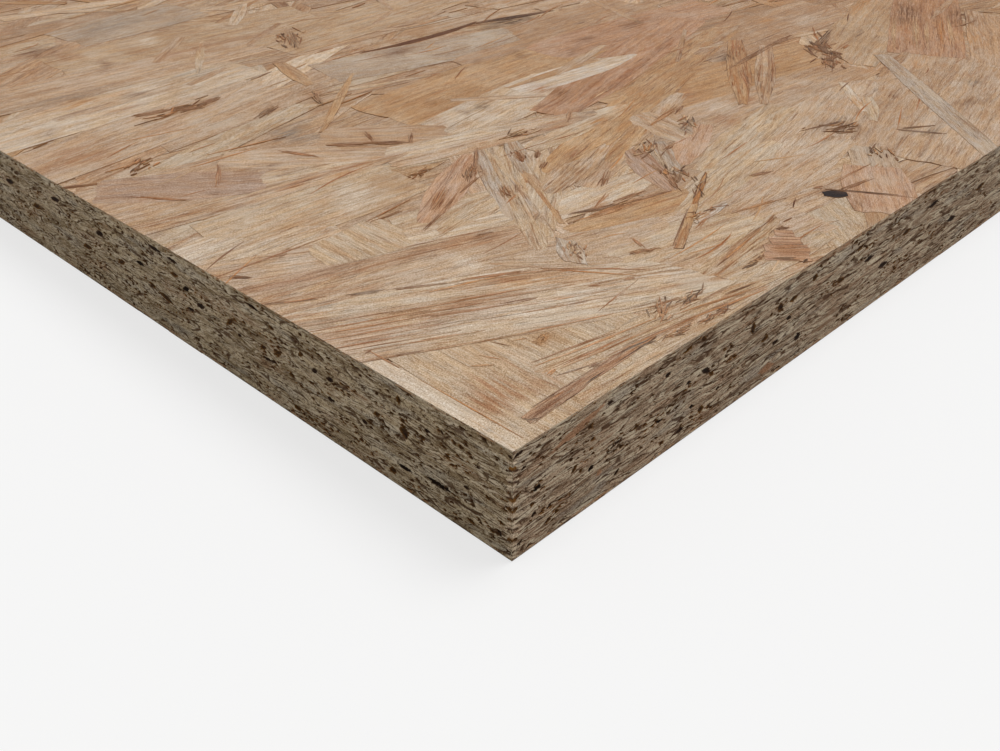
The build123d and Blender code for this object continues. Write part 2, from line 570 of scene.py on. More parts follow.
@dataclass(frozen=True)
class SawnFinish:
    """Sawn edges: wavy layers of cut strands, pale torn fibres, rusty pits, and painted shade
    that darkens the gaps, thin cracks and the pits' hollows.

    The two sizes of a pattern are its run along the edge and its rise.
    """

    strand: Pair = (13 * MM, 1.0 * MM)
    wave: Pair = (16 * MM, 4 * MM)
    wave_reach: float = 2.8 * MM
    line: Pair = (7.5 * MM, 0.34 * MM)
    fray: Pair = (2.2 * MM, 0.22 * MM)
    pore: Pair = (0.46 * MM, 0.30 * MM)
    pit: Pair = (1.8 * MM, 0.7 * MM)
    pit_edge: Pair = (0.8 * MM, 0.4 * MM)
    pitted: Pair = (8 * MM, 4 * MM)
    gaping: Pair = (5 * MM, 1.6 * MM)
    lapped: Pair = (7 * MM, 1.5 * MM)
    drift: Pair = (15 * MM, 3.5 * MM)
    grit_size: float = 0.2 * MM
    step: float = 0.10 * MM
    gap_depth: float = 0.22 * MM
    pit_depth: float = 0.45 * MM
    relief: float = 0.3 * MM
    bump: float = 0.8
    gloss: float = 0.1
    darkest: float = 0.15
    light: Colour = linear(169, 145, 120)
    dark: Colour = linear(136, 111, 88)
    brown: Colour = linear(146, 108, 80)
    grey: Colour = linear(160, 154, 142)
    torn: Colour = linear(204, 186, 160)
    lap: Colour = linear(206, 190, 164)
    speck: Colour = linear(78, 53, 33)
    rust: tuple[Colour, Colour] = (linear(104, 72, 36), linear(136, 88, 36))
    # Painted shade: inside the pits' hollows, and in the gaps and thin cracks between strands
    pit_shade: Colour = linear(66, 42, 23)
    crack_shade: Colour = linear(76, 49, 30)

    def section(self, w: Wiring, place: Signal) -> Section:
        """Draws the cut strands from their place on the edge.

        Args:
            w: The wiring of a material or a geometry tree.
            place: Distance along the edge, height and the edge's own number.

        Returns:
            The marks at that place, and the depth below the saw's plane in metres.
        """
        along, up, number = w.split(place)

        def spot(pattern: Pair, shift: float) -> Signal:
            """A place drawn out along the edge."""
            return w.combine(along / pattern[0], lifted / pattern[1], number + shift)

        def read(pattern: Pair, shift: float, detail: float = 2.0) -> Signal:
            """Noise drawn out along the edge."""
            return w.noise(spot(pattern, shift), detail, 0.55)

        lifted = up
        lifted = up + (read(self.wave, 0.0, 3.0) - 0.5) * self.wave_reach
        cell = w.combine(along / self.strand[0], lifted / self.strand[1], number)
        edge = w.cells(cell, "DISTANCE_TO_EDGE", "Distance")
        tone, level, _ = w.split(w.cells(cell, "F1", "Color"))
        width = w.ramp(read(self.gaping, 4.3, 3.0), 0.47, 0.70, 0.01, 0.13)
        gap = (1.0 - w.ramp(edge / width, 0.4, 1.1)).kept()
        lap = w.ramp(edge, 0.05, 0.09) * w.ramp(edge, 0.22, 0.13)
        reach = w.ramp(read(self.pitted, 6.7), 0.40, 0.62, 0.10, 0.48)
        near = w.cells(spot(self.pit, 9.1), "F1", "Distance") + read(self.pit_edge, 12.9) * 0.4
        pit = (1.0 - w.ramp((near - 0.2) / reach, 0.3, 1.0)).kept()
        return Section(
            tone=tone,
            gap=gap,
            streak=read(self.fray, 2.9),
            line=read(self.line, 15.7),
            grit=w.noise(w.vector("DIVIDE", place, (self.grit_size, self.grit_size, 1.0)), 1.0, 0.7),
            pit=pit,
            pore=read(self.pore, 8.3),
            lap=lap * w.ramp(read(self.lapped, 17.1, 1.0), 0.40, 0.52),
            depth=level * self.step + gap * self.gap_depth + pit * self.pit_depth,
        )

    def material(self) -> Material:
        """Builds the material.

        Returns:
            The material for sawn edges.
        """
        made = bpy.data.materials.new("sawn_strands")
        w = Wiring.of(made)
        place = w.attribute("section")
        cut = self.section(w, place)
        drift = w.noise(w.vector("DIVIDE", place, (*self.drift, 1.0)), 2.0, 0.6)
        colour = w.mix(w.ramp(cut.tone, 0.1, 0.9), self.dark, self.light)
        colour = w.mix(w.ramp(drift, 0.54, 0.70, 0.0, 0.45), colour, self.brown)
        colour = w.mix(w.ramp(drift, 0.46, 0.32, 0.0, 0.45), colour, self.grey)
        value = w.swing((cut.streak, 1.0), (cut.pore, 1.0), (cut.line, 0.9), (cut.grit, 1.5))
        value = w.math("MAXIMUM", value, self.darkest)
        warm = w.combine(value, value**1.2, value**1.4)
        torn = w.ramp(cut.line, 0.55, 0.62) * w.ramp(cut.streak, 0.42, 0.56)
        shaded_seam = w.ramp(cut.line, 0.43, 0.37) * w.ramp(cut.streak, 0.60, 0.44)
        rusty = w.mix(w.ramp(drift, 0.40, 0.60), *self.rust)
        colour = w.times(colour, warm)
        # The seams, the pits' hollows and the gaps get painted shade, the dark that falls inside them
        for share, tone in (
            (torn * 0.6, self.torn),
            (cut.lap * 0.75, self.lap),
            (shaded_seam * 0.8, self.crack_shade),
            (w.ramp(cut.pore, 0.41, 0.37) * 0.6, self.speck),
            (w.ramp(cut.pit, 0.03, 0.30) * 0.85, rusty),
            (w.ramp(cut.pit, 0.25, 0.6) * 0.9, self.pit_shade),
            (cut.gap * 0.8, self.crack_shade),
        ):
            colour = w.mix(share, colour, tone)
        ragged = (cut.streak - 0.5) * 0.5
        marked = w.ramp(w.attribute("mark", "Alpha") + ragged, 0.30, 0.50)
        colour = w.mix(marked, colour, w.times(w.attribute("mark", "Color"), warm))
        height = w.swing((cut.streak, 0.7), (cut.pore, 1.0), (cut.line, 0.7), (cut.grit, 0.9))
        w.shade(self, colour, w.ramp(cut.pore, 0.3, 0.7, 0.72, 0.9), height - (cut.gap + cut.pit))
        return made


@dataclass
class Strands:
    """A batch of strands, one row to each, from the lowest to the highest."""

    centre: np.ndarray
    lie: np.ndarray
    size: np.ndarray
    shape: np.ndarray
    bend: np.ndarray
    seed: np.ndarray
    tint: np.ndarray
    figure: np.ndarray
    border: np.ndarray

    def pick(self, rows: np.ndarray) -> "Strands":
        """Takes the strands with some row numbers, or those of a mask."""
        return Strands(**{name: value[rows] for name, value in vars(self).items()})

    def points(self, name: str) -> Object:
        """Makes an object with one vertex for each strand, which carries its numbers.

        Args:
            name: Its name.

        Returns:
            The object.
        """
        mesh = bpy.data.meshes.new(name)
        mesh.vertices.add(len(self.centre))
        mesh.vertices.foreach_set("co", self.centre.astype(np.float32).ravel())
        for label in ("lie", "bend", "seed", "border"):
            write(mesh, label, "FLOAT", getattr(self, label))
        for label in ("size", "shape", "figure", "centre"):
            write(mesh, label, "FLOAT_VECTOR", getattr(self, label))
        write(mesh, "tint", "FLOAT_COLOR", self.tint)
        mesh.update()
        return put(name, mesh)


class StrandPress:
    """Turns a batch of strands into thin plates with their own outlines, by Geometry Nodes."""

    torn_end: float = 2.2 * MM
    torn_side: float = 0.35 * MM
    crown: float = 0.002 * MM

    def __init__(self, name: str, rows: int, columns: int, finish: Material) -> None:
        """Builds the tree and its named inputs.

        Args:
            name: The tree's name.
            rows: Vertices along a strand.
            columns: Vertices across it.
            finish: The strands' material.
        """
        self.tree = bpy.data.node_groups.new(name, "GeometryNodeTree")
        self.inputs: dict[str, object] = {}
        face = self.tree.interface
        face.new_socket("Strands", in_out="INPUT", socket_type="NodeSocketGeometry")
        face.new_socket("Pressed", in_out="OUTPUT", socket_type="NodeSocketGeometry")
        for label, kind, value in (
            ("Rows", "Int", rows),
            ("Columns", "Int", columns),
            ("Torn End", "Float", self.torn_end),
            ("Torn Side", "Float", self.torn_side),
            ("Crown", "Float", self.crown),
            ("Finish", "Material", finish),
        ):
            made = face.new_socket(label, in_out="INPUT", socket_type=f"NodeSocket{kind}")
            self.inputs[made.identifier] = value
        self._wire()

    def _wire(self) -> None:
        """Joins the tree's nodes."""
        w = Wiring(self.tree)
        start = w.start()
        sizes = {"Size": (2.0, 2.0, 2.0), "Vertices X": start["Rows"], "Vertices Y": start["Columns"]}
        plate = w.add("GeometryNodeMeshCube", sizes | {"Vertices Z": 2}, "Mesh")
        plate = self._store(plate, "place", w.add("GeometryNodeInputPosition", {}))
        laid = w.add("GeometryNodeInstanceOnPoints", {"Points": start["Strands"], "Instance": plate})
        loose = w.add("GeometryNodeRealizeInstances", {0: laid})

        u, v, top = w.split(w.named("place", "FLOAT_VECTOR"))
        length, width, thick = w.split(w.named("size", "FLOAT_VECTOR"))
        taper_start, taper_end, skew = w.split(w.named("shape", "FLOAT_VECTOR"))
        seed = w.named("seed")
        half_length, half_width, tip = length * 0.5, width * 0.5, u**9.0
        narrow = 1.0 - w.ramp(u, 0.1, 1.15) * taper_end
        keep = w.math("MAXIMUM", narrow - w.ramp(u, -0.1, -1.15) * taper_start, 0.03)

        # Torn ends and nicked sides
        jag = w.noise(w.combine(v * half_width * 420.0, w.math("SIGN", u), seed), 2.0, 0.6)
        room = w.math("MINIMUM", start["Torn End"] * 2.0, half_length)
        room = room * w.ramp(half_length, 3 * MM, 9 * MM, 0.35, 1.0)
        slant = abs(tip) * skew * v * half_width
        lengthwise = u * half_length + slant + (jag - 0.5) * abs(tip) * room
        nick = w.noise(w.combine(lengthwise * 140.0, w.math("SIGN", v) * 3.0, seed), 3.0, 0.65)
        nick = (nick - 0.5) * v**3.0 * w.math("MINIMUM", start["Torn Side"] * 2.0, half_width)
        crosswise = v * half_width * keep + nick

        # Its bend, its pressed-down border and its thickness
        sweep = (u * u - 0.33) * w.named("bend") * half_length
        fall = v**4.0 * start["Crown"] + abs(tip) * start["Crown"]
        rise = (top - 1.0) * 0.5 * thick - fall
        inputs = {"Vector": w.combine(lengthwise, crosswise + sweep, rise), "Angle": w.named("lie")}
        turned = w.add("ShaderNodeVectorRotate", inputs, rotation_type="Z_AXIS")
        spot = w.vector("ADD", turned, w.named("centre", "FLOAT_VECTOR"))

        kept_width = half_width * keep
        rim = w.combine(v * kept_width, u * half_length, w.math("LESS_THAN", top, 0.0))
        shape = self._store(loose, "rim", rim)
        shape = self._store(shape, "reach", w.combine(kept_width, half_length, w.named("border")))
        shape = self._store(shape, "fibre", w.combine(lengthwise, crosswise, seed))
        shape = w.add("GeometryNodeSetPosition", {"Geometry": shape, "Position": spot})
        for spent in ("place", "size", "shape", "bend", "seed", "lie", "centre", "border"):
            shape = w.add("GeometryNodeRemoveAttribute", {0: shape, "Name": spent})
        w.finish(shape, start["Finish"])

    @staticmethod
    def _store(shape: Signal, name: str, value: Signal) -> Signal:
        """Stores a vector on every vertex.

        Args:
            shape: The geometry.
            name: The attribute's name.
            value: The vector.

        Returns:
            The geometry with it.
        """
        inputs = {"Geometry": shape, "Name": name, "Value": value}
        kinds = {"data_type": "FLOAT_VECTOR", "domain": "POINT"}
        return shape.wiring.add("GeometryNodeStoreNamedAttribute", inputs, **kinds)

    def press(self, strands: Strands, name: str) -> Mesh:
        """Presses a batch into a plain mesh.

        Args:
            strands: The batch.
            name: The mesh's name.

        Returns:
            The mesh, with no modifier left.
        """
        thing = strands.points(name)
        mesh, points = settle(thing, self.tree, self.inputs), thing.data
        bpy.data.objects.remove(thing)
        bpy.data.meshes.remove(points)
        mesh.name = name
        return mesh


@dataclass(frozen=True)
class Laid:
    """One listed strand, in millimetres from the near top corner.

    The first number of each end runs along the edge on the camera's right, the sheet's front
    edge, and the second along the edge on its left. Border is how dark the painted shadow along
    its rim is. Below 0 it is a loose splinter that fades into what lies around it.
    """

    start: Pair
    end: Pair
    width: float
    tone: Tone
    streaks: float
    pale: float
    stain: float
    taper: Pair
    border: float
    skew: float = 0.0
    bend: float = 0.0


USUAL = (0.3, 0.3, 0.2, 0.1, 0.1, 0.3)  # what a short row leaves out
SMUDGED = -0.6  # the border of a splinter that has a soft stain around it


def sliver(start: Pair, end: Pair, width: float, tone: Tone) -> Laid:
    """A thin splinter, or a crack whose dark tone is painted shade, pointed at both ends."""
    return Laid(start, end, width * 0.9, tone, 0.6, 0.0, 0.2, (0.85, 0.85), -0.2)


def smudge(start: Pair, end: Pair, width: float, tone: Tone) -> Laid:
    """A dark splinter with a soft stain around it."""
    return Laid(start, end, width, tone, 0.8, 0.0, 0.2, (0.8, 0.8), SMUDGED)


def flakes(*rows: tuple) -> tuple[Laid, ...]:
    """Strands from rows of both ends and then a strand's other numbers in their order."""
    rows = [row + USUAL[len(row) - 6 :] for row in rows]
    return tuple(Laid(row[:2], row[2:4], *row[4:9], row[9:11], *row[11:]) for row in rows)


def slivers(*rows: tuple) -> tuple[Laid, ...]:
    """Slivers from rows of both ends, width and tone."""
    return tuple(sliver(row[:2], row[2:4], *row[4:]) for row in rows)


def smudges(*rows: tuple) -> tuple[Laid, ...]:
    """Smudges from rows of both ends, width and tone."""
    return tuple(smudge(row[:2], row[2:4], *row[4:]) for row in rows)


@dataclass(frozen=True)
class Tatter:
    """A spot where the face is torn into short flecks, in millimetres from the near top corner."""

    spot: Pair
    reach: Pair
    lie: float
    flecks: int
    dark: float


@dataclass(frozen=True)
class Blot:
    """A soft stain on the face, or painted shade round a hole, in millimetres from the near top corner."""

    spot: Pair
    reach: Pair
    turn: float
    tone: Tone
    strength: float


def blots(*rows: tuple) -> tuple[Blot, ...]:
    """Blots from rows of spot, reach, turn, tone and strength."""
    return tuple(Blot(row[:2], row[2:4], *row[4:]) for row in rows)


def oval(away: np.ndarray, turn: float, reach: Pair) -> tuple[np.ndarray, np.ndarray]:
    """Measures how far points lie from the middle of a turned oval, as shares of its reach.

    Args:
        away: Each point's offset from that middle.
        turn: The oval's turn in degrees.
        reach: Its half length and half height.

    Returns:
        The shares along it and across it.
    """
    angle = math.radians(turn)
    along = (away[:, 0] * math.cos(angle) + away[:, 1] * math.sin(angle)) / reach[0]
    across = (away[:, 1] * math.cos(angle) - away[:, 0] * math.sin(angle)) / reach[1]
    return along, across


@dataclass(frozen=True)
class Mark:
    """A gap, pit or odd strand on a sawn edge, in millimetres.

    The spot is its distance from the near corner and its depth below the upper face, reach its
    half length and half height, sunk how far it goes into the edge, and core how much painted
    shade darkens its middle.
    """

    spot: Pair
    reach: Pair
    turn: float
    tone: Tone
    strength: float
    sunk: float
    core: float = 0.0


def gap(along: float, below: float, length: float, height: float, turn: float = 0.0) -> Mark:
    """An open gap between strands, black inside with painted shade."""
    return Mark((along, below), (length / 2, height / 2), turn, PITCH, 1.0, 0.7, 1.0)


def pit(along: float, below: float, length: float, height: float, turn: float = 0.0) -> Mark:
    """A rusty torn pit, with painted shade in its middle."""
    return Mark((along, below), (length / 2, height / 2), turn, RUST, 0.8, 0.35, 0.8)


def chip(along: float, below: float, length: float, height: float, turn: float = 0.0) -> Mark:
    """A dark torn pit, with painted shade in its middle."""
    return Mark((along, below), (length / 2, height / 2), turn, BARK, 0.95, 0.35, 0.9)


def ledges() -> tuple[Mark, ...]:
    """Lists the layer ends that wrap round the near upright arris.

    Returns:
        Pale ridges, dark cracks of painted shade and rusty spots, the same on both edges.
    """
    pale = (2.5, 5, 5.7, 7, 7.6, 8.8, 10.3, 10.9, 12.5, 13, 14.3, 15, 16.5, 17.1, 18.7, 19.5, 21.2)
    dark = (4.1, 6.3, 8.2, 9.4, 11.3, 13.6, 15.6, 18, 20.3)
    rusty = (3.4, 9.7, 11.8, 17.5)
    return (
        *(Mark((0.5, below), (1.5, 0.2), -22, CREAM, 0.75, 0.0) for below in pale),
        # Painted shade: dark cracks between the layer ends
        *(Mark((0.8, below), (1.2, 0.2), -22, BARK, 0.85, 0.0) for below in dark),
        *(Mark((0.3, below), (0.9, 0.3), -20, RUST, 0.8, 0.0) for below in rusty),
    )


LEFT_MARKS: tuple[Mark, ...] = (
    *ledges(), gap(17, 16, 7.5, .75, -1), gap(25.5, 17.2, 4.2, .75, -3), pit(25, 9.4, 2.6, 2.2, 0),
    chip(24.6, 10, 1.2, 1), chip(19.3, 6.2, 1.4, .7, -10), pit(26, 3.4, 1.4, 1.6), chip(15.6, 4.6, 1.2, .5),
    pit(20.5, 8.2, 1.6, 1, -20), pit(14.6, 8.8, 1.2, .9), pit(9.3, 19.2, 2.2, .9, 0),
    chip(3, 18, 1.4, .7, 10), chip(.6, 1.5, 1.4, .5, 6), pit(.6, 8.7, 1.4, .5, -4),
    pit(.7, 11.8, 1.5, .8, -4), pit(.5, 13.6, 1.2, .5), pit(.5, 17.8, 1.3, .6), pit(2.6, 15.4, 1.4, .6),
    pit(5.5, 12, 1.2, .8, -10), chip(10.2, 12.8, 1.6, .6, -10), chip(7.6, 7.2, 1.2, .5),
    pit(28.6, 19.4, 2.4, 1.4, -20), pit(32, 9.2, 2.4, 1, -20), chip(35.5, 12.6, 2, .7, -15),
    chip(44.6, 8, 2.2, 1, -20), chip(49, 8.2, 2, .9, -25), chip(45, 12.4, 2, .8), pit(52.8, 6.4, 1.8, 1, -25),
    pit(56.4, 12.4, 2.2, 1.1), pit(60.2, 9.4, 4.2, .9, -32), chip(63.6, 12.3, 6, .5, -5),
    pit(65, 10.2, 2.6, 1.2, -25), pit(61.4, 4.4, 1.8, .9), chip(67.2, 2.2, 5.4, .6, 3),
    pit(56, 19.7, 2.4, .9), pit(75.8, 9, 4.4, 1, -38), chip(73, 10.8, 2, .6, -30),
    chip(86.2, 9.6, 3.4, 1.1, -12), gap(91.2, 7.7, 3, 1, -22), chip(90.6, 12.1, 2.6, .8, -10),
    chip(94.6, 2.5, 3.8, .8, 0), pit(95, 5.8, 3.4, 1, -10), pit(100.4, 13.2, 6, 1.4, 10),
    pit(105.6, 12.2, 3, 1, 0), chip(101.5, 2.2, 6, .7, 0), gap(109.4, 8.4, 3.8, .8, -5),
    pit(118, 11.2, 4, 1.2, -20), chip(126, 7, 4, 1.2, -15), pit(134, 13, 4.5, 1.3, -10),
    chip(146, 5, 5, 1.1, -10), pit(158, 10.5, 5, 1.4, -15), chip(171, 8, 5, 1.3, -10),
)

FRONT_MARKS: tuple[Mark, ...] = (
    *ledges(), Mark((15, 3.7), (7.4, .85), 14, ROSEWOOD, .85, 0),
    Mark((72.6, 19), (3.2, .95), -3, ROSEWOOD, .9, 0), Mark((21, 15.9), (.9, .65), 20, ROSEWOOD, .8, .05),
    Mark((98, .9), (14, .7), 3, ROSEWOOD, .5, 0), gap(6, 10.3, 1.3, .7, 20), gap(5.4, 10.6, .9, .5, -40),
    gap(18.9, 13.9, 1.9, .9, 5), chip(22.9, 2.7, 1.7, .7, -10), chip(38.6, 4.7, 1.8, .9, 10),
    pit(14.6, 11.6, 2, .9, 35), pit(16.2, 12.8, 1.2, .8), pit(4.6, 13, 1.4, .8, 10),
    pit(10.6, 18, 1.6, .7, -20), chip(1.3, 1.4, 2.6, .6, 8), pit(1.2, 9.1, 2.4, .5, 8),
    pit(.7, 11.8, 1.5, .8, 8), pit(.4, 13.6, .9, .5), pit(.6, 17.8, 1.3, .6, 6), chip(1.9, 19.2, 1.6, .6, 30),
    chip(5, 15.2, 1.3, .7, 10), chip(8.6, 15.8, 1.4, .6, 10), chip(2.6, 4.6, 1.2, .5, 10),
    chip(25.4, 12.2, 4.6, .45, 8), pit(30.6, 11.6, 2.2, .8, 5), chip(26, 18.6, 1.8, .7, 30),
    gap(37.4, 13.9, 2.2, .5, 0), pit(43.8, 2, 3.4, .6, 5), chip(45.4, 9.6, 1.8, .7, -10),
    chip(50.6, 9.4, 3.6, 1.1, -28), pit(52.6, 11, 2, .9, -35), gap(47.2, 15.6, 1.8, .7, -10),
    pit(50.4, 17.8, 2.2, 1.5, -10), chip(44.2, 19.4, 2.6, .7, 10), chip(55.4, 15.5, 1.4, .8, 0),
    pit(65.3, 6.6, 1.7, 2.4, 0), chip(65.5, 7.4, .9, 1.2, 0), pit(74.4, 6, 2, 2.2, 10),
    chip(75, 6.2, 1.1, 1.3, 0), pit(79.2, 6, 3.2, 1.2, 0), chip(78.6, 10, 2.2, .8, -20),
    pit(70.4, 11.2, 2.8, 1.2, 0), chip(74.6, 13.9, 2.4, .9, 0), chip(83.6, 16.4, 2.6, 1.6, 0),
    pit(86.8, 4.2, 2.2, 1.6, 0), pit(98.4, 9.2, 4, 1.1, -10), chip(110.2, 8.5, 4.2, 1.1, 0),
    pit(105, 4, 4, .9, 0), chip(118, 12.8, 4.6, 1.2, -5), pit(127, 8, 4.2, 1.2, 5), chip(139, 5, 5, 1.2, 5),
    chip(152, 13, 5, 1.4, -5), pit(166, 9, 5, 1.4, 5),
)

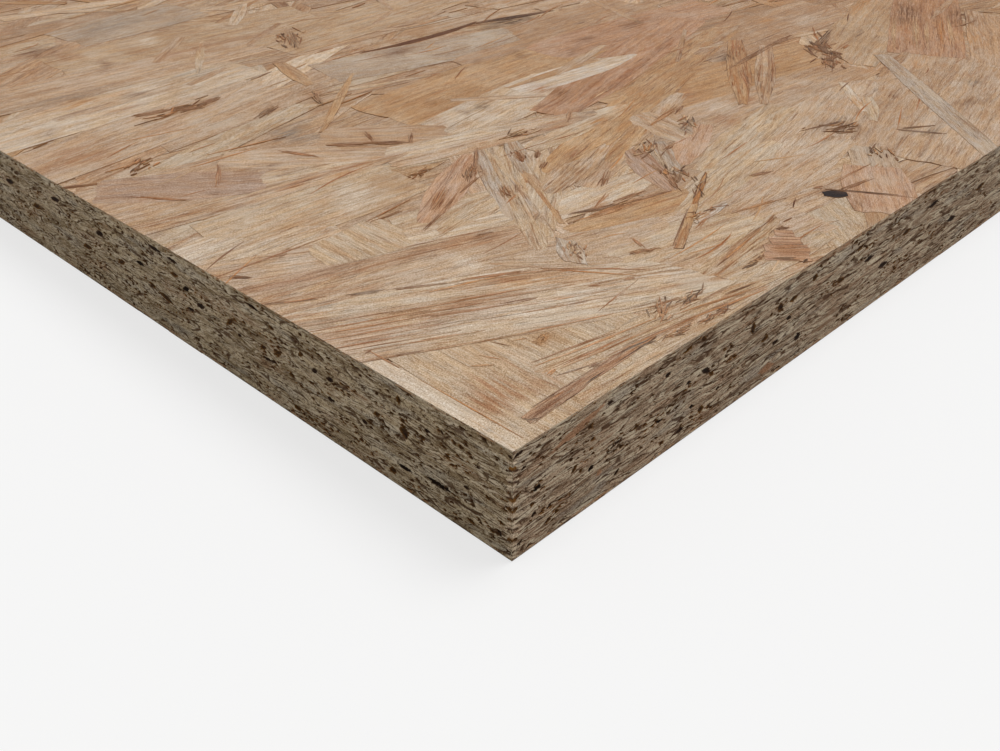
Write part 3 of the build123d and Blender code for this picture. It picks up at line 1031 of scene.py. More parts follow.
LAID_BY_HAND: tuple[Laid, ...] = (
    *flakes(
        (150, 20, 236, 44, 26, TAN), (100, 26, 196, 52, 24, SAND, .3, .4, .1),
        (60, 30, 132, 22, 24, SAND, .3, .4), (112, 62, 206, 60, 24, TAN, .2, .3, .3),
        (128, 84, 214, 72, 26, HONEY, .3, .1, .5), (126, 146, 218, 150, 26, TAN, .1, .2, .3),
        (80, 124, 170, 132, 26, HONEY, .2, .2, .4), (92, 164, 166, 150, 22, ASH, .1, .8, .1),
        (-8, 124, 60, 116, 24, TAN, .2, .3, .3), (-8, 152, 74, 168, 24, SAND, .3, .4, .3),
        (-8, 178, 80, 186, 22, CREAM, .2, .4, .3), (4, 206, 96, 204, 22, SAND, .2, .4, .3),
        (40, 226, 130, 222, 26, STRAW, .2, .3, .3), (56, 250, 104, 256, 26, ASH, .1),
        (96, 196, 180, 206, 26, STRAW, .3, .2), (180, 100, 262, 98, 26, TAN, .2, .3, .3),
        (206, 62, 286, 88, 22, STRAW, .2, .2), (150, 6, 236, 26, 22, SAND, .3, .4, .3),
        (150, 132, 236, 128, 22, ROSE, .2), (84, 104, 140, 112, 20, CREAM, .2, .6, .3),
    ),
    # Beside the corner itself
    *flakes(
        (31, -3, 31, 33, 27, STRAW, .1, .4, .5, .1, .1, 0),
        (11.2, -6, 11.6, 35, 16.4, STRAW, .1, .4, .3, .1, .1, .05),
        (.6, -6, .8, 37.4, 5.6, CREAM, .1, .9, 0, 0, 0, .12),
        (58, 17, 104, 12, 16, SAND, .3, .3, .3, .1, .1, .1),
        (16, 1, 82, -3, 9, STRAW, .5, .3, .2, .2, .2, .2),
        (18.5, 12.6, 78, 3, 6.5, STRAW, .7, .3, .2, .3, .4, .9),
        (18.6, 9, 72, 1, 3.6, SAND, .8, .3, .2, .1, .7, 1), (62, 12, 100, 17, 8, STRAW, .9, .2, .3, .5, .5),
        (66, 8, 98, 6, 9, STRAW, .4, .4, .2, .5, .3),
    ),
    # The strands along the left edge
    *flakes(
        (-6, 84, 30, 84, 22, CREAM, .5, .5, .1), (8, 92, 58, 90, 22, STRAW, .2, .6, .6),
        (-8, 84, 34, 62, 18, SAND, .6, .2, .1, .1, .1, .1), (38, 66, 70, 60, 20, STRAW, .3, .4),
        (25.8, 50, 25.8, 77.4, 26.6, STRAW, .1, .2, .1, 0, 0, .5),
        (12, 58, 56, 45, 13, SAND, .3, .5, .1, .2, .2),
        (-10, 70.5, 58, 51, 11, SAND, .9, .3, .2, 0, .15, .2, -.3, -.02),
        (-10, 62.5, 24, 52.4, 6, SAND, .6, .4, .1, 0, .6, .6),
        (-9, 53, 66, 14.2, 24, CREAM, 1, .9, 0, 0, .25, .6, -.7),
        (40, 46, 62, 26, 6, SAND, .5, .4, .2, .7, .6, .2),
    ),
    # Past the end of the pale strand
    *flakes(
        (50, 40, 80, 32, 14, SAND, .3, .4, .3, .4, .4, .1),
        (58, 29, 96, 21, 13, STRAW, .3, .4, .2, .5, .3, .1),
        (66, 52, 98, 50, 12, CREAM, .3, .6, .1, .4, .6, .2),
        (62, 43.5, 100, 36, 10, HONEY, .4, .1, .4, .6, .4, .1),
        (86, 33, 136, 42, 11, STRAW, .3, .2, .2, .3, .4, .1),
        (108, 42, 160, 54, 12, STRAW, .4, .2, .2, .5, .3, .2),
        (92, 24, 150, 30, 12, SAND, .3, .6, .1, .4, .4, .1),
    ),
    # The bundle of splinters that points away from the corner
    *flakes(
        (37, 66, 60, 57, 8, CREAM, .5, .4, .1, .3, .6), (40, 62, 66, 66, 9, STRAW, .5, .4, .2, .6, .4),
        (44, 68, 78, 88, 9, ROSE, .4, .2, .2, .6, .5, .2), (56, 46, 90, 76, 9, STRAW, .5, .3, .2, .4, .4, .2),
        (52, 42, 86, 88, 7, STRAW, .6, .4, .1, .5, .6, .4), (58, 56, 84, 93, 5, ASH, .6, .4, .1, .6, .6, .6),
        (64, 60, 90, 96, 4.6, STRAW, .6, .4, .1, .6, .6, .6),
        (60, 46, 76, 76, 4, ASH, .6, .2, .1, .6, .7, .6),
        (64, 47, 84, 80, 3.4, HONEY, .5, .2, .3, .7, .7, .5),
        (70, 56, 92, 88, 3.6, STRAW, .5, .3, .2, .6, .6, .6),
        (78, 70, 94, 92, 5, ASH, .6, .2, .2, .5, .6, .5),
    ),
    # Beyond it
    *flakes(
        (72, 60, 112, 74, 10, SAND, .5, .3, .3, .5, .4), (80, 66, 166, 92, 14, HONEY, .5, .1, .5, .4, .2, .2),
        (82, 56, 150, 80, 9, SAND, .5, .1, .5, .4, .4), (92, 60, 132, 74, 7, HONEY, .6, .1, .3, .4, .5),
        (90, 80, 136, 84, 9, STRAW, .5, .3, .2, .6, .4, .2),
        (94, 41, 108, 65, 8, MAUVE, .6, .1, .1, .6, .3, .2),
        (102, 46, 116, 62, 6, ASH, .5, .3, .1, .6, .4, .2),
        (108, 49, 134, 61, 8, ROSE, .4, .5, .2, .5, .3, .2),
        (124, 56, 128, 78, 14, SAND, .4, .6, .2, .3, .3, .1),
        (112, 94, 214, 124, 19, ROSE, .5, 0, .2, .4, .3, .2),
        (138, 88, 214, 108, 13, HONEY, .5, .3, .3, .4, .3, .2),
        (28, 113, 118, 88, 9, CREAM, .6, .7, 0, .3, .4, .5),
        (-8, 108, 76, 99, 6, SAND, .8, .3, .3, 0, .7, .7, 0, .02),
        (60, 97, 122, 86, 9, SAND, .7, .5, .3, .5, .5, .4), (4, 132, 34, 110, 16, MAUVE, .1, .6, .1, .2, .3),
        (34, 128, 66, 102, 14, SAND, .2, .3, .2, .3, .4, .2),
        (60, 124, 84, 104, 13, TAN, .3, .2, .3, .3, .3, .2),
        (120, 114, 172, 111, 13, WHITE, 0, 1, 0, .3, .9, 0),
        (62, 126, 98, 158, 2.6, HONEY, .5, .2, .4, .6, .7, .2),
        (231, 47.4, 308, 84.6, 23, ROSE, .6, .1, .2, 0, .1, .5),
    ),
    *slivers(
        (227.8, 56.2, 270, 78, 1.8, CREAM), (232.6, 51.1, 276, 73.4, 2.4, CREAM),
        (235.2, 48.6, 274, 68.6, 1.6, CREAM), (240.6, 43, 284, 65.4, 1.8, CREAM),
        (238.6, 45.4, 290, 71.8, 2.6, OCHRE),
    ),
    *flakes(
        (161, -6, 222, 57.6, 6.4, ASH, .4, .6, 0, .1, .3, .4),
        (80.6, 8.6, 86.4, 1.8, 3.6, ROSE, .7, .1, .2, 0, 0, .5),
        (83.6, 10.4, 89.4, 3.8, 3.6, ROSE, .7, .1, .2, 0, 0, .5),
        (87.4, 11.6, 91.6, 6.8, 3.4, ROSE, .7, .1, .2, 0, 0, .5),
        (91, 12.8, 93.6, 9.8, 3, ROSE, .7, .1, .2, 0, 0, .5),
        (154, 62, 204, 98, 7, HONEY, .9, .1, .4, .7, .4, .5),
        (158, 58, 206, 88, 6, SAND, .9, .1, .3, .7, .4, .5), (116, 1, 138, 16, 16, ROSE, .3, .7, .3, .2, .2),
    ),
    # Splinters, and cracks and dark ends whose dark is painted shade
    *flakes(
        (14, 4.7, 40.8, 5.2, 1.9, RUSSET, .9, .1, .1, .5, .85, .8),
        (22, 5.6, 36, 5.9, 1.3, ROSEWOOD, .9, .1, .1, .6, .7, .4),
        (7.4, 4, 25, 5, 2.7, ROSEWOOD, .9, .1, .1, .35, .6, 1, .5),
        (7.2, 4.9, 18, 5.3, 1.2, RUSSET, .9, .1, .1, .5, .7, .5),
    ),
    *slivers(
        (7.1, 5, 9, 2.6, .9, BARK), (7.6, 2.7, 15.6, 3.6, .5, UMBER), (15, 3.8, 31, 4.8, .5, BARK),
        (27, 4.6, 41, 4.8, .5, BARK), (8.4, 4.9, 21, 5.2, .4, UMBER), (9.4, 3.8, 22, 4.6, .35, BARK),
        (10, 5.8, 27, 6.3, .35, UMBER), (32, 6.2, 39.6, 5.2, .6, BARK), (19, 14.9, 42, 10.3, .7, RUSSET),
        (19.6, 13.6, 36, 10.2, .5, OCHRE), (24, 12.6, 48, 8.6, .5, OCHRE), (18.6, 11.3, 44, 7.9, .8, RUSSET),
        (18.4, 10.2, 22, 10.6, .9, OCHRE), (22, 10, 50, 6, .5, OCHRE), (29, 7.3, 58, 3.4, .7, RUSSET),
        (44, 8.4, 72, 1.6, .8, OCHRE), (46, 5.2, 70, .6, .6, OCHRE), (19.8, 9.1, 26, 7.2, .4, BARK),
        (25, 7, 28.4, 6.7, 1, UMBER), (12, 21.2, 15, 18.6, .6, OCHRE), (15.4, 22.6, 17, 19.2, .5, RUSSET),
        (19.8, 24.4, 21.4, 20.6, .4, UMBER), (24.4, 19.2, 27.2, 17.4, .9, OCHRE),
        (26.2, 17.6, 28.8, 18.8, .6, OCHRE), (22, 22.4, 25, 20.6, .4, OCHRE),
        (12.4, 33, 20.4, 28.4, .4, RUSSET), (-1, 52, 15, 44.4, .5, RUSSET), (-1, 49.6, 20, 40, .5, RUSSET),
        (1, 47, 16, 39.8, .4, OCHRE), (-1, 45.6, 22, 34.6, .6, RUSSET), (2, 42.4, 24, 31.8, .4, ROSEWOOD),
        (-1, 42, 17, 33.4, .5, RUSSET), (1, 39.6, 19, 30.6, .4, ROSEWOOD), (3, 37.4, 22, 27.6, .4, RUSSET),
        (14, 44.2, 30, 36.4, .5, ROSEWOOD), (16, 39, 38, 28, .8, RUSSET), (28, 33.6, 38.4, 28, .9, UMBER),
        (16, 41, 29, 34.6, .6, RUSSET), (26, 38.8, 38, 33, .6, RUSSET), (30, 35, 46, 27.4, .5, ROSEWOOD),
        (30, 30.4, 48, 21.6, .4, OCHRE), (24, 30.8, 42, 21.6, .3, OCHRE), (24, 45, 40, 39.4, .6, OCHRE),
        (38, 40, 49, 33.4, .7, RUSSET), (46, 36, 57, 21, .6, OCHRE), (49, 33.6, 60, 21.4, .5, RUSSET),
        (30, 43.6, 44, 36.4, .4, OCHRE), (46.6, 25.4, 49, 24, .9, RUSSET), (53, 22.4, 56, 20.8, .8, RUSSET),
        (48, 12.2, 57, 9.8, .7, RUSSET), (55.6, 9.2, 58, 9.8, .9, BARK), (50.5, 7.6, 62, 9.4, .7, RUSSET),
        (52, 2, 58.4, 1.8, .7, UMBER), (36, 5.1, 40, 4.2, .6, BARK), (60, 5.6, 70.5, 3.3, .7, UMBER),
        (4, 33.4, 11, 29.6, .7, UMBER), (9, 30.4, 21, 24.6, .6, RUSSET), (19, 25.2, 42, 15.4, .6, RUSSET),
        (3.4, 37.2, 3.4, 29, .4, RUSSET), (3.5, 24, 3.6, 1, .3, OCHRE), (2.2, 36.6, 4, 37, .7, UMBER),
        (12, 55.4, 20.6, 50.4, 1, BARK), (19, 51.2, 29.4, 45, .9, UMBER), (28, 46, 47, 36, .9, RUSSET),
        (45, 37, 58, 24, .8, RUSSET), (-1, 63.8, 9.4, 56.8, .7, UMBER), (2, 61.4, 10, 57.4, .5, RUSSET),
    ),
    *smudges((46.5, 56, 51.5, 54.4, .7, UMBER)),
    *slivers((1.4, 77.2, 5, 72.8, 1.3, UMBER), (2.8, 75, 4.6, 73.2, .8, BARK)),
    *smudges(
        (12.5, 76.9, 15.6, 76.8, .9, UMBER), (-1, 78.2, 26, 77.2, .5, RUSSET),
        (36, 76.2, 47, 75.8, .8, UMBER), (36, 77, 50, 79, .5, RUSSET), (41, 65, 52, 69.6, .8, UMBER),
        (48, 68, 62, 75, .8, UMBER), (48, 70.4, 60.5, 78.4, 2.6, RUSSET), (57, 72.6, 74, 79, .7, UMBER),
        (70, 79, 84, 92.6, 1.1, UMBER), (64.5, 63, 69.5, 70, 2, UMBER), (69, 64.6, 73.6, 69, 1.2, SLATE),
        (61.6, 52.4, 64.6, 54, 1.8, SLATE), (66, 77, 74.6, 84.6, 2.6, BARK), (83, 76.4, 87, 82, 2.6, UMBER),
        (87, 75.6, 91, 78.6, 1.6, UMBER), (82, 70, 88, 73, 1.4, UMBER), (92, 69.6, 99, 72.6, 1.2, RUSSET),
    ),
    *flakes((52.4, 33, 58.6, 41.6, 5.4, ASH, .6, .2, 0, .3, .4, .5, .5)),
    *slivers(
        (53, 33.6, 57.4, 40.4, 1.2, SLATE), (55.4, 33.4, 60, 41, 1, SLATE), (52.6, 36, 56.6, 41.6, .7, SLATE),
        (54.2, 35, 56, 38.4, .5, BARK), (56.6, 35.4, 58.4, 39.4, .5, BARK),
    ),
    *smudges(
        (51.6, 34, 54, 37, .9, UMBER), (56, 36, 58.4, 38.6, .8, BARK), (61.6, 28.6, 69, 25.8, 1.4, RUSSET),
        (67, 28, 69, 33, .8, RUSSET), (70, 23, 79, 26.4, 1.2, RUSSET),
    ),
    *flakes(
        (71.5, 22.6, 93, 33.8, 2, HONEY, .8, .1, .3, .1, .3, 1),
        (90, 32.4, 108, 41.6, 1.5, OCHRE, .9, 0, .3, .3, .7, .8),
    ),
    *slivers((72, 24.4, 88, 32.4, .4, UMBER)),
    *flakes((84, 27.4, 97, 28.4, 2.2, WHITE, .5, .7, 0, .6, .6, .6)),
    *smudges(
        (80, 25, 92, 28.4, .8, RUSSET), (90, 25.4, 108, 21, .9, OCHRE), (67, 49, 84, 43.4, 1.6, BARK),
        (80, 44.2, 95, 41, .9, UMBER), (68, 45.6, 84, 42.6, 2.2, OCHRE), (73, 46.4, 84, 50.8, .8, RUSSET),
        (79, 46.4, 89.6, 45.2, 1.1, UMBER), (83.6, 53, 93, 58.4, 2, UMBER), (95, 39.4, 99, 46, 1.5, UMBER),
        (98, 43, 104, 46, 1.8, SLATE), (100, 47, 104, 56, 1.2, MAUVE), (110, 59, 114, 61, 1.4, SLATE),
        (112, 56.4, 117, 58, 1.3, UMBER), (112, 33.4, 119.6, 31.2, 1.4, UMBER),
        (70, 12.6, 80, 14.4, .7, UMBER), (72, 13, 90, 15.6, .6, OCHRE),
    ),
    *slivers((72.6, 8.4, 77, 8, .9, BARK)),
    *smudges(
        (77.6, 8.6, 80.6, 9, .8, BARK), (81, 6.8, 84.4, 3.2, .9, BARK), (83.6, 9.9, 90.8, 4, .9, UMBER),
        (83.6, 1.6, 85.4, 1.8, .8, BARK), (92.8, 12.8, 95.2, 13.4, 1.3, BARK),
        (97, 14.4, 100, 14.2, .6, UMBER), (119, 17.6, 140, 17, .8, RUSSET),
    ),
    *slivers(
        (116.4, 20.4, 130, -2, 1.3, UMBER), (118.6, 17, 127, 3, .6, BARK),
        (88.2, 11.9, 91.4, 7.8, .5, RUSSET), (93, 13.6, 95.4, 12, 1.2, BARK),
        (80.4, 7.4, 84.6, 1.2, .7, BARK), (164, 24.8, 171.6, 11.4, 1, UMBER),
        (164, 24.6, 176.4, 16.4, 1, UMBER), (145, 40.8, 162, 36, .9, UMBER),
    ),
    *smudges(
        (117, 19, 119.6, 18, 1.4, UMBER), (55.6, 145.6, 67, 151, 2.6, BARK), (56, 118.8, 66, 110, 2.2, UMBER),
        (64, 112.6, 74, 104, 2, UMBER), (72.6, 104.2, 77.4, 109.6, 1.2, UMBER),
        (66.6, 111, 70.6, 120, 1.2, UMBER), (24.6, 114.6, 31.6, 126, 1.4, RUSSET),
        (8, 124, 17, 111.6, 1.1, RUSSET), (46, 126, 51.6, 112, 1.3, RUSSET),
        (74, 140.4, 80.6, 155, 1.8, SLATE), (33, 170.6, 47, 167.6, 2.6, UMBER),
        (43, 168.6, 52, 162.6, 2.2, UMBER), (47, 164, 61, 168, 2.4, UMBER), (101, 189, 113, 210, 3.2, SLATE),
        (171, 81.6, 214, 87.6, 2, UMBER), (206, 86.6, 225, 88.4, 2.2, UMBER), (165, 67, 184, 83, 1.8, RUSSET),
        (187, 87, 208, 100, 2.6, RUSSET), (195, 60, 216, 71, 4, UMBER), (204, 72, 236, 82, 3.6, BARK),
        (122.6, 70, 142, 73.4, 1.6, OCHRE), (135, 70.4, 142, 73, 1.4, UMBER),
        (110, 86, 120, 93.4, 1.6, MAUVE),
    ),
    # A near-black plate of painted shade where a hole opens between the strands
    *flakes((115.8, 15.8, 119.4, 12, 3.9, VOID, 0, 0, 0, .5, .5, 0)),
    *smudges((118.6, 14.6, 132, 12, 1.2, UMBER)),
)

TATTERS: tuple[Tatter, ...] = (
    Tatter((49.6, 10.2), (4.6, 1.9), 28, 39, .65), Tatter((56.8, 8.9), (4.4, 1), 8, 24, .7),
    Tatter((54.6, 2.1), (4.2, .7), -2, 30, .8), Tatter((44.6, 3.3), (4, .8), -5, 21, .45),
    Tatter((65.5, 27), (3.6, .8), -28, 15, .7), Tatter((26.6, 18.6), (2.6, 1), 20, 18, .3),
    Tatter((78, 8.6), (3.4, .6), 2, 15, .9), Tatter((100, 37.6), (7, .9), 27, 18, .8),
    Tatter((103, 46), (5, 3), 50, 27, .6), Tatter((110, 60), (6, 3), 30, 24, .5),
    Tatter((62, 88.6), (3.6, 1.4), 10, 18, .7), Tatter((70.2, 80.4), (3.4, 1.8), 40, 18, .9),
    Tatter((67.6, 67), (2.6, 1.2), 50, 15, .8), Tatter((85.2, 79.4), (2.6, 1.6), 60, 15, .9),
    Tatter((56.6, 37.4), (3, 2.6), 50, 27, .5), Tatter((88, 29), (6, 1.4), -6, 18, .4),
    Tatter((155, 34), (7, 3), -20, 21, .7), Tatter((212, 71), (15, 6), 40, 30, .95),
    Tatter((204, 64), (6, 4), 40, 15, .95), Tatter((19, 139), (5, 3), 30, 18, .6),
    Tatter((47, 166), (9, 2.4), 10, 18, .9), Tatter((106, 200), (9, 4), 60, 18, .7),
    Tatter((96, 90), (6, 2), -10, 18, .4), Tatter((132, 64), (6, 3), 30, 18, .5),
    Tatter((148, 18), (5, 3), 40, 15, .6),
)

BLOTS: tuple[Blot, ...] = blots(
    (24, 28, 46, 40, 0, CREAM, .3), (290, 60, 60, 50, 0, OCHRE, .22), (240, 160, 90, 36, -45, OCHRE, .2),
    # The near-black blot on the next line is painted shade round the hole between strands
    (274, 75, 16, 5, 26, UMBER, .72), (117.6, 13.9, 2.9, 2.4, -46, VOID, .8),
    (157.4, 33.4, 4, 2.4, -20, UMBER, .72), (6.4, 11.6, 3, 4.4, 0, RUSSET, .7),
    (11.2, 13.6, 2.6, 5.4, 15, RUSSET, .75), (12.6, 9.6, 3.4, 2.4, 0, RUSSET, .45),
    (17.4, 15, 1.2, 7, 0, RUSSET, .45), (14, 24, 5, 7, 0, HONEY, .4), (26.6, 18.4, 3, 1.5, 20, OCHRE, .7),
    (18, 9, 2.4, 3, 0, RUSSET, .4), (23, 22, 8, 4, -20, HONEY, .4), (7, 42, 12, 6, -24, RUSSET, .45),
    (27, 35, 10, 4, -24, RUSSET, .6), (42, 34, 12, 3, -34, OCHRE, .5), (1, 6.6, 1.4, .9, 20, SLATE, .7),
    (24, 36, 11, 1.5, -24, RUSSET, .55), (36, 29.4, 5, 1.4, -24, RUSSET, .75),
    (17.6, 38.2, 2, 1.2, -24, RUSSET, .6), (18.4, 42.4, 2.2, 1.2, -50, RUSSET, .6),
    (27.4, 38, 2.2, 1, 10, RUSSET, .5), (6, 45.4, 8, 1.2, -26, RUSSET, .5), (20, 40.8, 10, 1, -24, OCHRE, .3),
    (40, 33, 7, 1.5, -26, OCHRE, .3), (50, 25, 6, 1.5, -30, OCHRE, .3), (47, 24.4, 1.6, .9, 0, RUSSET, .6),
    (10, 37, 9, 1.4, -24, RUSSET, .3), (8, 50, 9, 3, -24, ASH, .4), (36, 27, 16, 3.4, -26, WHITE, .6),
    (20, 33, 14, 2.4, -26, WHITE, .5), (1, 20, 2, 22, 0, WHITE, .4), (58, 24, 6, 2, -50, RUSSET, .3),
    (66, 10.4, 2, 2.4, 60, OCHRE, .7), (61, 16.4, 3, 1, -50, OCHRE, .6), (17, 63.6, 14, 3, -22, RUSSET, .4),
    (36, 57.6, 13, 1.8, -12, RUSSET, .5), (48, 53, 6, 4, -30, RUSSET, .45),
    (53, 48.6, 3, 5, -30, RUSSET, .45), (48, 52.6, 3, 1.6, -20, UMBER, .45),
    (50, 55.2, 3, .9, -20, SLATE, .6), (4, 68, 8, 3, -20, MAUVE, .5), (14, 66, 8, 2.4, -20, MAUVE, .4),
    (14, 73, 2.4, 5, 0, WHITE, .35), (38, 48, 2, 4, 0, WHITE, .5), (28, 78.8, 2.4, 1.2, -20, OCHRE, .7),
    (24, 87, 8, 4, 15, OCHRE, .42), (34, 83, 6, 2.4, 0, OCHRE, .35), (37, 93, 5, 1, 30, OCHRE, .4),
    (44, 89, 6, 6, 20, WHITE, .65), (39, 85, 4, 2, 40, WHITE, .5), (6, 90, 9, 5, 0, WHITE, .45),
    (60.6, 89.4, 4, 2, 50, RUSSET, .75), (50, 101, 6, 2, 0, OCHRE, .6), (20, 103, 9, .9, -5, UMBER, .5),
    (3, 103, 4, .9, 0, UMBER, .55), (60, 102.2, 12, 1.1, -10, RUSSET, .6), (48, 105.4, 5, 1, -10, RUSSET, .6),
    (36, 106, 8, 1.6, -10, RUSSET, .3), (22, 122, 8, 8, -45, MAUVE, .5), (55, 132, 3, 8, 20, SLATE, .75),
    (57, 126, 6, 3, 10, SLATE, .5), (62, 133, 1.6, 6, 10, OCHRE, .52), (67, 133, 6, 1.6, 45, HONEY, .6),
    (10, 153, 13, 5, 0, RUSSET, .55), (14, 145, 3, 7, 20, RUSSET, .3), (8, 140.4, 3, 1.4, 30, UMBER, .5),
    (36, 157, 7, 3, 20, RUSSET, .45), (18, 138.6, 1.6, 1.2, 0, SLATE, .6),
    (40.4, 116.4, 1.8, 1.4, 0, UMBER, .55), (34, 116, 5, 3, 40, UMBER, .25),
    (22.4, 112.4, 1.4, 1.6, 0, UMBER, .6), (97.6, 111.4, 2.2, 2, 0, UMBER, .78),
    (104, 111, 2.8, 2, 0, BARK, .72), (96.4, 122.6, 2.6, 1.4, 40, UMBER, .65),
    (88, 107, 2.4, 1.6, 20, SLATE, .6), (88, 112, 2, 8, -20, RUSSET, .39), (83, 127, 3, 1.2, 50, UMBER, .45),
    (77, 150, 5, 1.8, 0, RUSSET, .52), (117, 81, 4, 2, 15, OCHRE, 1), (103, 71.4, 3, 1.2, 10, OCHRE, .7),
    (101, 67.6, 3, 1.4, 0, OCHRE, .5), (117, 73, 4, 4, 0, OCHRE, .3), (92, 74.4, 3, 1, 20, OCHRE, .6),
    (141, 87, 3, 3.4, 0, OCHRE, .91), (130, 84, 7, 2, 20, OCHRE, .65), (138, 82, 6, 2, 0, RUSSET, .52),
    (119, 88, 5, 4, 45, SLATE, .45), (108, 94, 10, 2, -15, RUSSET, .45), (128, 62, 3, 2, 45, SLATE, .7),
    (133, 63.6, 2.6, 1.2, 20, SLATE, .5), (141, 58.6, 4, 4.6, 0, RUSSET, .65),
    (117, 61.6, 3, 2.6, 20, SLATE, .5), (101, 44.6, 3.6, 1.6, 0, UMBER, .5),
    (150, 77, 5, 2.4, 30, RUSSET, .91), (158, 62.4, 4, 2, 10, RUSSET, .78), (155, 36, 6, 4, 20, UMBER, .52),
    (147, 18, 4, 3, 40, UMBER, .35), (114, 7.6, 4, 1.4, 10, UMBER, .4), (100, 22.6, 5, 1.2, -5, OCHRE, .4),
    (96, 28, 6, 2, -20, SLATE, .35), (87.6, 6.8, 5, 5, 0, RUSSET, .55), (128, 11, 2, 6, 0, OCHRE, .4),
    (148, 65, 5, 4, 40, WHITE, .4), (138, 36, 8, 5, 10, WHITE, .3), (126, 108, 3.6, 6, 10, RUSSET, .72),
    (127, 104, 2.4, 3, -20, UMBER, .59), (118, 143, 12, 2.4, 6, UMBER, .55),
    (103, 142, 7, 1.6, 0, UMBER, .45), (136, 139.6, 10, 2, -10, UMBER, .49),
    (145, 136, 3.6, 2.6, 40, UMBER, .65), (122, 165, 6, 2.6, 0, UMBER, .78),
    (173, 166.6, 13, 5.4, 12, BARK, .98), (187, 182, 8, 2.4, 10, OCHRE, .78),
    (175, 187, 4, 3, 20, RUSSET, .78), (158, 126, 6, 1.8, 25, UMBER, .52), (173, 133, 7, 1.6, 10, UMBER, .55),
    (196, 132.6, 9, 2.4, 8, UMBER, .72), (156, 175, 5, 1.8, 30, UMBER, .45),
    (138, 180.6, 3.4, 2.2, 45, SLATE, .8), (143, 178, 3, 1.4, 45, SLATE, .5),
    (125, 180, 12, 2.4, 0, SLATE, .3), (113, 187, 3, 5, -20, OCHRE, .45), (186, 89.4, 4, 2.6, 10, BARK, 1),
    (282, 58, 15, 6, 28, UMBER, .72), (260, 47, 14, 3, 25, OCHRE, .65), (290, 75, 16, 4, 28, RUSSET, .65),
    (256, 115.6, 9, 3.6, 10, OCHRE, 1), (262, 116, 6, 3, 10, RUSSET, .91), (270, 91, 12, 2.4, 10, OCHRE, .78),
    (230, 104, 6, 3, 0, OCHRE, .65), (220, 111, 4, 3, 20, RUSSET, .45), (236, 126, 6, 1.6, 25, UMBER, .39),
    (216, 26.4, 4, 2.6, 20, SLATE, .7), (199, 18.4, 8, 2.6, -15, UMBER, .65), (168, 18, 2, 6, 20, SLATE, .55),
    (174, 17.4, 5, 1.4, 10, SLATE, .4), (189, 36.4, 3.4, 1.2, 30, UMBER, .78),
    (178, 41, 5, 2, 20, OCHRE, .72), (224, 45.6, 8, 2.4, 10, OCHRE, .65), (206, 56, 5, 8, -10, OCHRE, .52),
    (160, 37.6, 8, 1.6, 0, SLATE, .5), (240, 76, 10, 3, 20, SLATE, .3), (240, 94, 12, 4, 10, WHITE, .3),
    (30, 190, 16, 3, 0, OCHRE, .78), (30, 196, 18, 2.4, -3, SLATE, .6), (66, 191, 14, 2.6, 0, SLATE, .5),
    (86, 186, 8, 3.4, 0, SLATE, .45), (44, 186, 4, 2, 0, UMBER, .65), (78, 213, 18, 3, 10, RUSSET, .52),
    (52, 217, 1.8, 5, -15, UMBER, .78), (44, 243, 5, 7, 30, UMBER, .85), (37, 253, 2.4, 6, 0, RUSSET, .91),
    (48, 233, 3, 6, 10, RUSSET, .52), (36, 230, 5, 3, 40, RUSSET, .45), (47, 274, 3, 5, 0, RUSSET, .65),
    (76, 256, 18, 7, 20, SLATE, .5), (92, 243, 7, 3, 40, SLATE, .5), (70, 244, 10, 6, 10, ASH, .5),
    (94, 277, 3, 7, -25, OCHRE, .78), (74, 230, 3, 6, -25, WHITE, .5), (62, 174, 16, 6, 5, ASH, .5),
    (12, 160, 10, 6, 40, RUSSET, .3), (12, 172, 3, 8, -30, UMBER, .35), (36, 177, 7, 1.6, 0, RUSSET, .52),
    (112, 158, 14, 5, -10, ASH, .45), (10, 240, 3, 30, -8, OCHRE, .26),
)


PLAIN_TONES: tuple[tuple[Tone, float], ...] = (
    (CREAM, 0.14), (STRAW, 0.28), (SAND, 0.30), (TAN, 0.20), (HONEY, 0.08),
)
THICKNESS = 0.3 * MM  # of a face strand


@dataclass(frozen=True)
class Litter:
    """Small strands or thin splinters that are spread by rule, in millimetres.

    Turn is the spread of their direction in degrees, and clear the sum of both distances from
    the corner below which none lie.
    """

    rows: int
    turn: float
    run: Pair
    width: Pair
    clear: float
    broad: bool


